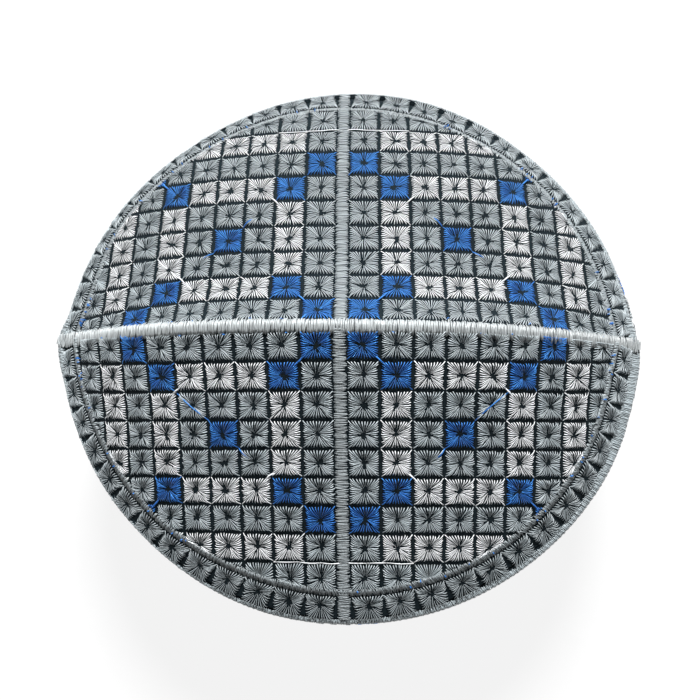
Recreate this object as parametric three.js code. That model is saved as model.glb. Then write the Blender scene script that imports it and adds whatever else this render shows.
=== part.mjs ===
// A round embroidered cap with a ridge, in millimetres, +Z up.
// It stands on its hem at z = 0. The ridge seam runs along X and the front is at -Y.
// Two D-shaped crown panels meet at the ridge, and an upright side band hangs from their rim.

import * as THREE from "three";

// The rim, where the crown meets the side band, seen from above. Each half of it is
// y = halfWidth * (1 - (x / halfLength)^2)^power, a little more pointed than an ellipse
// at the two ends of the ridge.
const RIM = { halfLength: 94, halfWidth: 87.5, power: 0.556, height: 54 };
// The hem is a plain oval of nearly the same girth.
const HEM = { halfLength: 93, halfWidth: 87.5, power: 0.5 };

// The crown rises from the rim to the ridge, which falls away towards its two ends.
const CROWN_RISE = 30;
const RIDGE_POWER = 2.55;
// Front to back, each panel falls from the ridge to the rim: a sharp pinch beside the ridge
// seam, a straight slope, and a round shoulder near the rim. The front panel is pulled straight.
const FALL_FRONT = { pinch: 0, shoulder: 0 };
const FALL_BACK = { pinch: 0.58, shoulder: 0.78 };
const PINCH_REACH = 0.08;
const SHOULDER_POWER = 5;

const WALL = 2;
const GAP = 0.3;

// The seams are flat cords, given by half of their width and half of their thickness.
const RIDGE_CORD = { halfWidth: 2.2, halfThickness: 1.7, sunk: 1.4, endScale: 0.55 };
const RIM_CORD = { halfWidth: 2.1, halfThickness: 1.3 };
// The rim cord leans down and out, except at the right, where the band pushes it up.
const RIM_CORD_LEAN = THREE.MathUtils.degToRad(55);
const PUSH = { at: -0.16, reach: 0.5, lean: THREE.MathUtils.degToRad(42), top: 1.0, bulge: 1.7 };
// The depth below the band's top edge at which that bulge is widest.
const BULGE_DEPTH = 3.5;

const BAND_BELLY = 1.2;
const HEM_CORD = { halfWidth: 2.3, height: 4.4 };

const PANEL_COLUMNS = 40;
const PANEL_ROWS = 14;
const RING_STEPS = 72;
const CORD_SIDES = 8;
const RIDGE_STEPS = 44;

const EMBROIDERED_GREY = new THREE.MeshStandardMaterial({ color: 0x6d7478, roughness: 0.75, metalness: 0 });
const SEAM_GREY = new THREE.MeshStandardMaterial({ color: 0xa9aeb0, roughness: 0.6, metalness: 0 });

/** Half of the crown's width at x, for an outline that may be set in from the rim. */
function halfWidthAt(x, inset = 0) {
  const across = Math.max(1 - (x / (RIM.halfLength - inset)) ** 2, 0);
  return (RIM.halfWidth - inset) * across ** RIM.power;
}

/** Height of the ridge line above the hem. */
function ridgeHeight(x) {
  return RIM.height + CROWN_RISE * (1 - Math.abs(x / RIM.halfLength) ** RIDGE_POWER);
}

/** Height of the crown's outer face at a place inside the rim. */
function crownHeight(x, y) {
  const { pinch, shoulder } = y < 0 ? FALL_FRONT : FALL_BACK;
  const share = Math.abs(y) / halfWidthAt(x);
  const fall = share + shoulder * share ** SHOULDER_POWER + pinch * (1 - Math.exp(-share / PINCH_REACH));
  const whole = 1 + shoulder + pinch * (1 - Math.exp(-1 / PINCH_REACH));
  return RIM.height + (ridgeHeight(x) - RIM.height) * (1 - fall / whole);
}

/** Outward unit normal of the crown, by central differences on the side of y. */
function crownNormal(x, y) {
  const step = 0.05;
  const slopeX = (crownHeight(x + step, y) - crownHeight(x - step, y)) / (2 * step);
  const slopeY = (crownHeight(x, y + step) - crownHeight(x, y - step)) / (2 * step);
  return new THREE.Vector3(-slopeX, -slopeY, 1).normalize();
}

/** A D-shaped wall on one side of the ridge: side is -1 at the front and 1 at the back. */
function crownPanel(side) {
  const ridgeSetback = RIDGE_CORD.halfWidth + 0.5;
  const rimInset = RIM_CORD.halfWidth + GAP;
  const tipWidth = ridgeSetback + 1.5;
  const tipShare = (tipWidth / (RIM.halfWidth - rimInset)) ** (1 / RIM.power);
  const tip = (RIM.halfLength - rimInset) * Math.sqrt(1 - tipShare);
  const geometry = new THREE.BoxGeometry(1, 1, 1, PANEL_COLUMNS, PANEL_ROWS, 1);
  const position = geometry.attributes.position;
  for (let i = 0; i < position.count; i += 1) {
    const x = tip * Math.sin(Math.PI * position.getX(i));
    const along = position.getY(i) * side + 0.5;
    const share = along - 0.09 * Math.sin(2 * Math.PI * along);
    const y = side * THREE.MathUtils.lerp(ridgeSetback, halfWidthAt(x, rimInset), share);
    const point = new THREE.Vector3(x, y, crownHeight(x, y));
    if (position.getZ(i) < 0) {
      point.addScaledVector(crownNormal(x, y), -WALL);
    }
    position.setXYZ(i, point.x, point.y, point.z);
  }
  return geometry;
}

/** The cord along the ridge, sunk between the two panels, with both ends drawn in. */
function ridgeCord() {
  const end = RIM.halfLength - RIM_CORD.halfWidth + 0.3;
  const geometry = new THREE.CylinderGeometry(1, 1, 1, CORD_SIDES, RIDGE_STEPS);
  const position = geometry.attributes.position;
  for (let i = 0; i < position.count; i += 1) {
    const along = 2 * position.getY(i);
    const x = end * Math.sin((Math.PI / 2) * along);
    const slope = (ridgeHeight(x + 0.1) - ridgeHeight(x - 0.1)) / 0.2;
    const normal = new THREE.Vector3(-slope, 0, 1).normalize();
    const scale = Math.abs(along) > 0.999 ? RIDGE_CORD.endScale : 1;
    const lift = position.getX(i) * RIDGE_CORD.halfThickness * scale - RIDGE_CORD.sunk;
    const y = position.getZ(i) * RIDGE_CORD.halfWidth * scale;
    position.setXYZ(i, x + normal.x * lift, y, ridgeHeight(x) + normal.z * lift);
  }
  return geometry;
}

/** A point on an oval outline, turn in radians from +X. */
function ovalPoint(turn, { halfLength, halfWidth, power }) {
  const across = Math.sign(Math.sin(turn)) * Math.abs(Math.sin(turn)) ** (2 * power);
  return new THREE.Vector2(halfLength * Math.cos(turn), halfWidth * across);
}

/** The same point moved outwards in plan. */
function ovalOffset(turn, oval, outward) {
  const step = 0.02;
  const tangent = ovalPoint(turn + step, oval).sub(ovalPoint(turn - step, oval)).normalize();
  return ovalPoint(turn, oval).add(new THREE.Vector2(tangent.y, -tangent.x).multiplyScalar(outward));
}

/** How much the band pushes out at a turn round the cap, from 0 to 1. */
function pushAt(turn) {
  const away = Math.atan2(Math.sin(turn - PUSH.at), Math.cos(turn - PUSH.at));
  return Math.exp(-((away / PUSH.reach) ** 2));
}

/** A closed ring round the cap: section(turn) gives its outline, {oval, outward, z}, anticlockwise. */
function ring(section) {
  const sides = section(0).length;
  const geometry = new THREE.TorusGeometry(2, 1, sides, RING_STEPS);
  const position = geometry.attributes.position;
  for (let step = 0; step <= RING_STEPS; step += 1) {
    const turn = (2 * Math.PI * (step % RING_STEPS)) / RING_STEPS;
    const outline = section(turn);
    for (let side = 0; side <= sides; side += 1) {
      const { oval, outward, z } = outline[side % sides];
      const place = ovalOffset(turn, oval, outward);
      position.setXYZ(side * (RING_STEPS + 1) + step, place.x, place.y, z);
    }
  }
  return geometry;
}

/** Section of the rim cord, an ellipse that leans down and out. */
function rimCordSection(turn) {
  const lean = RIM_CORD_LEAN - PUSH.lean * pushAt(turn);
  return Array.from({ length: CORD_SIDES }, (_, side) => {
    const angle = (2 * Math.PI * side) / CORD_SIDES;
    const long = RIM_CORD.halfWidth * Math.cos(angle);
    const short = RIM_CORD.halfThickness * Math.sin(angle);
    return {
      oval: RIM,
      outward: long * Math.cos(lean) + short * Math.sin(lean),
      z: RIM.height - long * Math.sin(lean) + short * Math.cos(lean),
    };
  });
}

/** Section of the side band: up its outer face and down its inner one. */
function bandSection(turn) {
  const top = RIM.height - 2.2;
  const bottom = HEM_CORD.height + GAP;
  const depths = [top - bottom, 34, 22, 12, 7, BULGE_DEPTH, 1.5, 0];
  const face = (offset) =>
    depths.map((depth) => {
      const low = depth / (top - bottom);
      const swell = (depth / BULGE_DEPTH) * Math.exp(1 - depth / BULGE_DEPTH);
      const push = pushAt(turn) * (PUSH.top * Math.exp(-depth / BULGE_DEPTH) + PUSH.bulge * swell);
      const oval = {
        halfLength: THREE.MathUtils.lerp(RIM.halfLength, HEM.halfLength, low),
        halfWidth: THREE.MathUtils.lerp(RIM.halfWidth, HEM.halfWidth, low),
        power: THREE.MathUtils.lerp(RIM.power, HEM.power, low),
      };
      const belly = BAND_BELLY * Math.sin(Math.PI * low);
      return { oval, outward: offset + belly + push, z: top - depth };
    });
  return [...face(WALL / 2 + 0.2), ...face(-WALL / 2 + 0.2).reverse()];
}

/** Section of the bound hem: a flat foot and a round top. */
function hemSection() {
  const { halfWidth, height } = HEM_CORD;
  const foot = halfWidth * 0.6;
  const outline = [
    [foot, 0],
    [halfWidth, height * 0.35],
    [halfWidth * 0.85, height * 0.8],
    [halfWidth * 0.35, height],
  ];
  const mirrored = outline.map(([outward, z]) => [-outward, z]).reverse();
  return [...outline, ...mirrored].map(([outward, z]) => ({ oval: HEM, outward: outward + 0.2, z }));
}

const pieces = [
  ["crown_panel_back", crownPanel(1), EMBROIDERED_GREY],
  ["crown_panel_front", crownPanel(-1), EMBROIDERED_GREY],
  ["ridge_seam", ridgeCord(), SEAM_GREY],
  ["rim_seam", ring(rimCordSection), SEAM_GREY],
  ["side_band", ring(bandSection), EMBROIDERED_GREY],
  ["hem_edge", ring(hemSection), SEAM_GREY],
];

const cap = new THREE.Group();
for (const [name, geometry, material] of pieces) {
  const mesh = new THREE.Mesh(geometry, material);
  mesh.name = name;
  cap.add(mesh);
}

export default cap;
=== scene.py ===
"""Looks for an embroidered kufi: a stiff round cap with a ridge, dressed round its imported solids.

Lengths are in millimetres until a mesh is written, and flat drawings are in motif widths.
+X runs along the ridge seam, the front is at -Y, and the cap stands on its hem at z = 0.
"""

import logging
import math
from dataclasses import dataclass, field, replace
from enum import Enum

import bpy
import numpy as np
from mathutils import Matrix, Vector


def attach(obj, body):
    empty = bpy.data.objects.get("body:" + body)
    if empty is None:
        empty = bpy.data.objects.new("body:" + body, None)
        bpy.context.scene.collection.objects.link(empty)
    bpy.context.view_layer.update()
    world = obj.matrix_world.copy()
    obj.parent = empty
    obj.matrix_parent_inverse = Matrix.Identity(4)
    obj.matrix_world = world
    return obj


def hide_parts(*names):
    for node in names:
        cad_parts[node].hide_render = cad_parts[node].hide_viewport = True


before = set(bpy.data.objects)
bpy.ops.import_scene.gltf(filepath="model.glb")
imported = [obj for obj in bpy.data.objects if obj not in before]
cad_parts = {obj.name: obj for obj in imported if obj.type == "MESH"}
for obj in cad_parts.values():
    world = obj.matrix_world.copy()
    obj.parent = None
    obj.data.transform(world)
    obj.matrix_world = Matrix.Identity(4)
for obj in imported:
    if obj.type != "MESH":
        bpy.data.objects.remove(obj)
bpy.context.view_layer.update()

LOG = logging.getLogger("kufi")
METRE = 0.001
SEED = 1907
UV_THREAD = "thread"
UV_CLOTH = "cloth"
TONE = "tone"
COLOUR = "NodeSocketColor"
NUMBER = "NodeSocketFloat"
TINY = 1e-6


# Forms


class Side(Enum):
    """The two panels of the crown. The front one comes first, which some loops rely on."""

    FRONT = -1
    BACK = 1


class Yarn(Enum):
    """Embroidery threads, each with its place among a piece's materials."""

    GREY = 0
    WHITE = 1
    BLUE = 2


@dataclass(frozen=True)
class Fall:
    """How a crown panel falls from the ridge to the rim, and where its drawing lies on it.

    The rows table gives how far from the ridge, seen from above, the panel's straight edge, the
    middle of each row of motifs and a place past the rim lie. Narrowing is how much the columns
    draw together, beside the ridge and three rows away from it. Skew is how far the columns lean
    to the left towards the back, slant how far the rows rise to the right, and shift how far the
    drawing lies to the right.
    """

    pinch: float
    shoulder: float
    narrowing: tuple[float, float]
    skew: float
    slant: float
    shift: float
    rows: tuple[float, ...]


FALLS = {
    Side.FRONT: Fall(
        pinch=0.0, shoulder=0.0, narrowing=(0.99, 0.965), skew=0.020, slant=0.0135, shift=-0.3,
        rows=(-0.6, 5.4, 14.0, 22.4, 30.9, 39.3, 47.6, 56.1, 64.6, 73.6, 90.7),
    ),
    Side.BACK: Fall(
        pinch=0.58, shoulder=0.78, narrowing=(1.0, 0.985), skew=0.0175, slant=0.010, shift=0.0,
        rows=(0.6, 5.6, 13.7, 21.6, 30.2, 39.1, 48.3, 57.5, 66.6, 75.2, 91.6),
    ),
}


def unit(vectors: np.ndarray) -> np.ndarray:
    """Vectors scaled to length one along their last axis."""
    return vectors / np.maximum(np.linalg.norm(vectors, axis=-1, keepdims=True), TINY)


def lengths_along(points: np.ndarray, axis: int = 0) -> np.ndarray:
    """Distances from the first point along one or more lines of points.

    Args:
        points: The lines, with coordinates on the last axis.
        axis: The axis that counts the points of a line.

    Returns:
        One distance for each point.
    """
    walked = np.cumsum(np.linalg.norm(np.diff(points, axis=axis), axis=-1), axis=axis)
    return np.concatenate([np.zeros_like(walked.take([0], axis=axis)), walked], axis=axis)


def evenly(count: int) -> np.ndarray:
    """Middles of that many equal parts of the span from 0 to 1."""
    return (np.arange(count) + 0.5) / count


@dataclass(frozen=True)
class CrownForm:
    """The crown's outer face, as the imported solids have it."""

    half_length: float = 94.0
    half_width: float = 87.5
    power: float = 0.556
    rim_height: float = 54.0
    rise: float = 30.0
    ridge_power: float = 2.55
    pinch_reach: float = 0.08
    shoulder_power: float = 5.0
    step: float = 0.05

    def half_width_at(self, x: np.ndarray, inset: float = 0.0) -> np.ndarray:
        """Half of the crown's width at x, for an outline that may be set in from the rim."""
        across = np.maximum(1 - (x / (self.half_length - inset)) ** 2, 0)
        return (self.half_width - inset) * across**self.power

    def ridge_height(self, x: np.ndarray) -> np.ndarray:
        """Height of the ridge line above the hem."""
        return self.rim_height + self.rise * (1 - np.abs(x / self.half_length) ** self.ridge_power)

    def height(self, x: np.ndarray, y: np.ndarray, side: Side) -> np.ndarray:
        """Height of the crown's outer face.

        Args:
            x: Places along the ridge.
            y: Places across it.
            side: The panel.

        Returns:
            Heights above the hem.
        """
        fall_of = FALLS[side]
        share = np.minimum(np.abs(y) / np.maximum(self.half_width_at(x), TINY), 1.0)
        fall = (
            share
            + fall_of.shoulder * share**self.shoulder_power
            + fall_of.pinch * (1 - np.exp(-share / self.pinch_reach))
        )
        whole = 1 + fall_of.shoulder + fall_of.pinch * (1 - math.exp(-1 / self.pinch_reach))
        return self.rim_height + (self.ridge_height(x) - self.rim_height) * (1 - fall / whole)

    def point(self, x: np.ndarray, y: np.ndarray, side: Side) -> np.ndarray:
        """Points of the crown's outer face over these places."""
        return np.stack([x, y, self.height(x, y, side)], axis=-1)

    def normal(self, x: np.ndarray, y: np.ndarray, side: Side) -> np.ndarray:
        """Outward unit normals of the panel on that side, by central differences.

        Args:
            x: Places along the ridge.
            y: Places across it.
            side: The panel.

        Returns:
            Normals, one for each place.
        """
        step = self.step
        y = side.value * np.maximum(np.abs(y), 2 * step)
        slope_x = (self.height(x + step, y, side) - self.height(x - step, y, side)) / (2 * step)
        slope_y = (self.height(x, y + step, side) - self.height(x, y - step, side)) / (2 * step)
        return unit(np.stack([-slope_x, -slope_y, np.ones_like(slope_x)], axis=-1))


@dataclass(frozen=True)
class OvalForm:
    """The outline of the rim or the hem seen from above, by turn in radians from +X."""

    half_length: float
    half_width: float
    power: float
    step: float = 0.02
    fine: int = 2880
    table: int = 1440

    def point(self, turn: np.ndarray) -> np.ndarray:
        """Points of the outline in plan.

        Args:
            turn: Turns round the cap.

        Returns:
            The points, with x and y on the last axis.
        """
        sine = np.sin(turn)
        across = np.sign(sine) * np.abs(sine) ** (2 * self.power)
        return np.stack([self.half_length * np.cos(turn), self.half_width * across], axis=-1)

    def outward(self, turn: np.ndarray) -> np.ndarray:
        """Outward unit directions of the outline in plan."""
        tangent = unit(self.point(turn + self.step) - self.point(turn - self.step))
        return np.stack([tangent[..., 1], -tangent[..., 0]], axis=-1)

    def offset(self, turn: np.ndarray, out: np.ndarray) -> np.ndarray:
        """Points in plan at distances out from the outline."""
        return self.point(turn) + out[..., None] * self.outward(turn)

    def turns(self, count: int) -> np.ndarray:
        """Turns of places spread evenly round the outline.

        Args:
            count: How many places, the first of them at the right end.

        Returns:
            The turns, from 0 to two pi.
        """
        fine = np.linspace(0, 2 * math.pi, self.fine + 1)
        arc = lengths_along(self.point(fine))
        return np.interp(np.arange(count) / count, arc / arc[-1], fine)

    def turn_at(self, share: np.ndarray) -> np.ndarray:
        """Turns of places given by their share of the girth.

        Args:
            share: Shares, anticlockwise from the right end. Whole rounds don't count.

        Returns:
            The turns, from 0 to two pi.
        """
        table = np.append(self.turns(self.table), 2 * math.pi)
        return np.interp(share % 1.0 * self.table, np.arange(self.table + 1), table)

    def girth(self) -> float:
        """Length of the outline."""
        points = self.point(np.linspace(0, 2 * math.pi, self.fine + 1))
        return float(np.linalg.norm(np.diff(points, axis=0), axis=1).sum())

    def arcs(self, count: int) -> np.ndarray:
        """Distances round the outline after each of that many even steps, from 0 to the girth."""
        return np.arange(count + 1) / count * self.girth()


@dataclass(frozen=True)
class BandForm:
    """The upright side band with its slight belly, and the push that lifts the rim at the right."""

    rim: OvalForm = OvalForm(94.0, 87.5, 0.556)
    hem: OvalForm = OvalForm(93.0, 87.5, 0.5)
    top: float = 51.8
    bottom: float = 4.7
    belly: float = 1.2
    face: float = 1.2
    push_turn: float = -0.16
    push_reach: float = 0.5
    push_top: float = 0.4
    push_bulge: float = 1.1
    bulge_depth: float = 3.5
    tuck: float = 0.75
    tuck_depth: float = 5.0
    depth_step: float = 0.3

    def push(self, turn: np.ndarray) -> np.ndarray:
        """How much the band pushes out at a turn, from 0 to 1."""
        away = turn - self.push_turn
        return np.exp(-((np.arctan2(np.sin(away), np.cos(away)) / self.push_reach) ** 2))

    def place(self, turn: np.ndarray, depth: np.ndarray, lift: np.ndarray) -> np.ndarray:
        """Places on the band.

        Args:
            turn: Turns round the cap.
            depth: Depths below the band's top edge.
            lift: Distances out from the band's outer face.

        Returns:
            Points in the cap's frame.
        """
        turn, depth, lift = np.broadcast_arrays(turn, depth, lift)
        low = np.clip(depth / (self.top - self.bottom), 0, 1)
        below = np.maximum(depth, 0)
        swell = (below / self.bulge_depth) * np.exp(1 - below / self.bulge_depth)
        push = self.push(turn) * (
            self.push_top * np.exp(-below / self.bulge_depth) + self.push_bulge * swell
        )
        tuck = self.tuck * np.exp(-below / self.tuck_depth)
        out = self.face + self.belly * np.sin(np.pi * low) + push - tuck + lift
        mix = low[..., None]
        # The two outlines differ by a millimetre, so mixing their points is exact enough.
        plan = (1 - mix) * self.rim.offset(turn, out) + mix * self.hem.offset(turn, out)
        return np.concatenate([plan, (self.top - depth)[..., None]], axis=-1)

    def normal(self, turn: np.ndarray, depth: np.ndarray) -> np.ndarray:
        """Outward unit normals of the band's outer face.

        Args:
            turn: Turns round the cap.
            depth: Depths below the band's top edge.

        Returns:
            Normals, one for each place.
        """
        zero = np.zeros(np.broadcast(turn, depth).shape)
        ahead, past = turn + self.rim.step, turn - self.rim.step
        low, high = depth + self.depth_step, depth - self.depth_step
        round_cap = self.place(ahead, depth, zero) - self.place(past, depth, zero)
        down = self.place(turn, low, zero) - self.place(turn, high, zero)
        return unit(np.cross(down, round_cap))


@dataclass(frozen=True)
class EdgeForm:
    """How the cap's edge wanders round its oval.

    Each row begins with a place on the rim's girth, in degrees anticlockwise from the right. Then
    it gives how far the rim seam's outer face and its inner edge lie outside the rim's outline,
    and how far inside the outline the ring's outer edge lies. The rows are spread over fine even
    places, and each place takes the mean of the blend places round it.
    """

    rows: tuple[tuple[float, float, float, float], ...] = (
        (0, 2.4, -1.7, 5.8), (4, 1.0, -1.8, 6.1), (10, 0.3, -1.7, 6.5), (16, 1.0, -0.7, 6.3),
        (23, 1.4, -0.2, 5.9), (30, 1.6, 0.0, 5.5), (40, 1.7, 0.3, 5.2), (50, 1.7, 0.6, 5.3),
        (60, 2.3, 1.2, 5.3), (75, 2.5, 1.7, 5.3), (88, 2.1, 1.5, 5.2), (98, 2.0, 1.0, 4.7),
        (107, 1.5, 0.8, 4.6), (115, 0.9, 0.4, 4.8), (128, 0.4, 0.1, 4.8), (137, 0.9, 0.2, 4.0),
        (148, 1.2, 0.4, 3.2), (155, 0.9, 0.3, 3.3), (163, 0.8, 0.1, 4.9), (169, 0.6, 0.0, 5.3),
        (175, 1.3, -0.2, 4.4), (178, 3.3, 0.2, 3.4), (182, 3.5, 0.6, 3.4), (190, 1.5, 0.7, 4.3),
        (200, 1.2, 0.5, 5.0), (214, 1.3, 0.5, 5.3), (226, 1.0, 0.3, 5.6), (236, 1.1, 0.1, 6.6),
        (247, 1.4, -0.1, 7.4), (257, 1.5, -0.3, 7.7), (270, 1.1, -0.6, 7.6), (284, 1.6, -0.5, 7.4),
        (297, 2.1, -0.1, 6.8), (309, 2.4, 0.3, 6.2), (322, 2.8, 0.3, 5.9), (333, 2.9, -0.4, 6.1),
        (341, 2.6, -1.5, 6.5), (347, 2.0, -1.9, 7.1), (353, 2.3, -1.8, 7.3), (357, 2.6, -1.7, 6.6),
    )
    fine: int = 720
    blend: int = 13
    ring_middle: float = 1.85
    ring_change: float = 0.25
    # Painted shade: the thread near the rim is darkened towards the front.
    front_painted_shade: float = 1.15
    painted_shade_spread: float = 1.8

    def darkening(self, turn: np.ndarray) -> np.ndarray:
        """How much darker the thread near the rim is painted, most of all at the front: painted shade.
        """
        return self.front_painted_shade * np.clip(-self.painted_shade_spread * np.sin(turn), 0, 1)

    def column(self, number: int, turn: np.ndarray) -> np.ndarray:
        """One column of the table, smoothed, at any turn.

        Args:
            number: The column.
            turn: Turns round the cap.

        Returns:
            Its values there.
        """
        places, values = np.array(self.rows)[:, 0], np.array(self.rows)[:, number]
        even = np.interp(np.arange(self.fine) / self.fine * 360, places, values, period=360)
        window = np.hanning(self.blend)
        smooth = np.convolve(np.tile(even, 3), window / window.sum(), "same")
        smooth = smooth[self.fine : 2 * self.fine]
        return np.interp(turn, BAND.rim.turns(self.fine), smooth, period=2 * math.pi)

    def reach(self, turn: np.ndarray) -> np.ndarray:
        """How far the rim seam's outer face lies outside the rim's outline."""
        return self.column(1, turn)

    def lip(self, turn: np.ndarray) -> np.ndarray:
        """How far outside the rim's outline the seam's inner edge lies."""
        return self.column(2, turn)

    def ring(self, turn: np.ndarray) -> np.ndarray:
        """How far inside the rim's outline the ring's outer edge lies."""
        return self.column(3, turn)

    def ring_width(self, turn: np.ndarray) -> np.ndarray:
        """How wide the ring looks from above, a little wider at the front."""
        return self.ring_middle - self.ring_change * np.sin(turn)

    def place(
        self, turn: np.ndarray, inset: np.ndarray, lift: np.ndarray
    ) -> tuple[np.ndarray, np.ndarray]:
        """Places on the crown, given from its rim.

        Args:
            turn: Turns round the cap.
            inset: Distances in from the rim's outline, seen from above.
            lift: Heights above the cloth.

        Returns:
            The points and the cloth's normals there.
        """
        turn, inset, lift = np.broadcast_arrays(turn, inset, lift)
        plan = BAND.rim.offset(turn, -inset)
        x, y = plan[..., 0], plan[..., 1]
        front = (y < 0)[..., None]
        point = np.where(front, *(CROWN.point(x, y, side) for side in Side))
        normal = np.where(front, *(CROWN.normal(x, y, side) for side in Side))
        return point + lift[..., None] * normal, normal


CROWN = CrownForm()
BAND = BandForm()
EDGE = EdgeForm()


@dataclass(frozen=True)
class PanelMap:
    """Carries the flat drawing of one crown panel onto the crown.

    A drawing's first coordinate runs along the ridge from the middle of the cap, the second away
    from the ridge, both in motif widths. The two tables give, seen from above, how far from the
    middle of the cap the stripe's middle, each column's middle and a place past the rim lie.
    """

    side: Side
    columns_right: tuple[float, ...] = (
        0.0, 7.1, 17.3, 27.1, 36.9, 46.7, 56.3, 65.7, 74.6, 83.5, 98.5,
    )
    columns_left: tuple[float, ...] = (
        0.0, 7.1, 17.3, 27.2, 37.2, 47.1, 56.8, 66.3, 75.3, 84.3, 99.2,
    )
    first_middle: float = 0.7
    middles: int = 9
    past_rim: float = 10.6
    narrow_rows: float = 3.0
    end_drop: float = 4.5
    end_rows: float = 5.0
    end_room: float = 0.1
    edge_inset: float = 0.9
    ring_degrees: tuple[int, int] = (1, 179)
    ring_places: int = 357

    @property
    def knots(self) -> np.ndarray:
        """Places in the drawing that the tables of columns and rows speak of."""
        return np.array([0.0, *(self.first_middle + np.arange(self.middles)), self.past_rim])

    def narrow(self, v: np.ndarray) -> np.ndarray:
        """How much the columns draw together at v."""
        return np.interp(v, (0.0, self.narrow_rows), FALLS[self.side].narrowing)

    def place(
        self, u: np.ndarray, v: np.ndarray, lift: np.ndarray
    ) -> tuple[np.ndarray, np.ndarray]:
        """Places points of the drawing on the crown.

        Args:
            u: Places along the ridge, in motif widths from the middle.
            v: Distances from the ridge, in motif widths.
            lift: Heights above the cloth, in millimetres.

        Returns:
            The points and the cloth's normals there.
        """
        u, v, lift = np.broadcast_arrays(u, v, lift)
        fall_of = FALLS[self.side]
        right = np.interp(u, self.knots, self.columns_right)
        left = np.interp(-u, self.knots, self.columns_left)
        along = (right - left) * self.narrow(v)
        bend = (along / CROWN.half_length) ** 4 * np.maximum(1 - v / self.end_rows, 0)
        away = np.interp(v, self.knots, fall_of.rows) - self.end_drop * bend
        away = away + self.side.value * fall_of.slant * along
        y = self.side.value * np.maximum(away, self.edge_inset)
        limit = CROWN.half_length - self.end_room
        x = np.clip(along + fall_of.shift - fall_of.skew * y, -limit, limit)
        normal = CROWN.normal(x, y, self.side)
        return CROWN.point(x, y, self.side) + lift[..., None] * normal, normal

    def drawn(self, x: np.ndarray, y: np.ndarray) -> np.ndarray:
        """Places in the drawing of points of the crown seen from above.

        Args:
            x: Places along the ridge.
            y: Places across it.

        Returns:
            Flat places, with u and v on the last axis.
        """
        fall_of = FALLS[self.side]
        along = x - fall_of.shift + fall_of.skew * y
        v = np.interp(self.side.value * (y - fall_of.slant * along), fall_of.rows, self.knots)
        along = along / self.narrow(v)
        right = np.interp(along, self.columns_right, self.knots)
        left = np.interp(-along, self.columns_left, self.knots)
        return np.stack([right - left, v], axis=-1)

    def ring_reach(self) -> tuple[np.ndarray, np.ndarray]:
        """The line in the drawing at which the motifs stop for the ring.

        Returns:
            Angles from the drawing's right end, rising, and distances from its middle.
        """
        turn = self.side.value * np.radians(np.linspace(*self.ring_degrees, self.ring_places))
        plan = BAND.rim.offset(turn, -(EDGE.ring(turn) + EDGE.ring_width(turn)))
        flat = self.drawn(plan[:, 0], plan[:, 1])
        angle = np.arctan2(flat[:, 1], flat[:, 0])
        order = np.argsort(angle)
        return angle[order], np.hypot(*flat.T)[order]


# Meshes


def write_mesh(
    name: str,
    vertices: np.ndarray,
    faces: list[np.ndarray],
    uv_name: str,
    uv: np.ndarray,
    materials: list[bpy.types.Material],
    material_of: np.ndarray | None = None,
    tone: np.ndarray | None = None,
) -> bpy.types.Object:
    """Writes arrays as a smooth mesh object.

    Args:
        name: The piece's name.
        vertices: Points in millimetres.
        faces: Groups of faces, each an array with one row of vertex numbers for each face.
        uv_name: Name of the UV layer.
        uv: One row for each face corner, in the order of the faces.
        materials: The piece's materials.
        material_of: The material's number for each face, or None for the first.
        tone: A number for each vertex, from 0 to 1 where the thread isn't painted darker, or None.

    Returns:
        The new object.
    """
    mesh = bpy.data.meshes.new(name)
    corners = np.concatenate([group.ravel() for group in faces]).astype(np.int32)
    sizes = np.concatenate([np.full(len(group), group.shape[1]) for group in faces])
    starts = np.concatenate([[0], np.cumsum(sizes)[:-1]]).astype(np.int32)
    mesh.vertices.add(len(vertices))
    mesh.vertices.foreach_set("co", (vertices * METRE).astype(np.float32).ravel())
    mesh.loops.add(len(corners))
    mesh.loops.foreach_set("vertex_index", corners)
    mesh.polygons.add(len(sizes))
    mesh.polygons.foreach_set("loop_start", starts)
    for material in materials:
        mesh.materials.append(material)
    if material_of is not None:
        mesh.polygons.foreach_set("material_index", material_of.astype(np.int32))
    mesh.update(calc_edges=True)
    mesh.shade_smooth()
    layer = mesh.uv_layers.new(name=uv_name)
    layer.data.foreach_set("uv", uv.astype(np.float32).ravel())
    if tone is not None:
        shade = mesh.attributes.new(TONE, "FLOAT", "POINT")
        shade.data.foreach_set("value", tone.astype(np.float32))
    piece = bpy.data.objects.new(name, mesh)
    bpy.context.scene.collection.objects.link(piece)
    return piece


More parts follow.
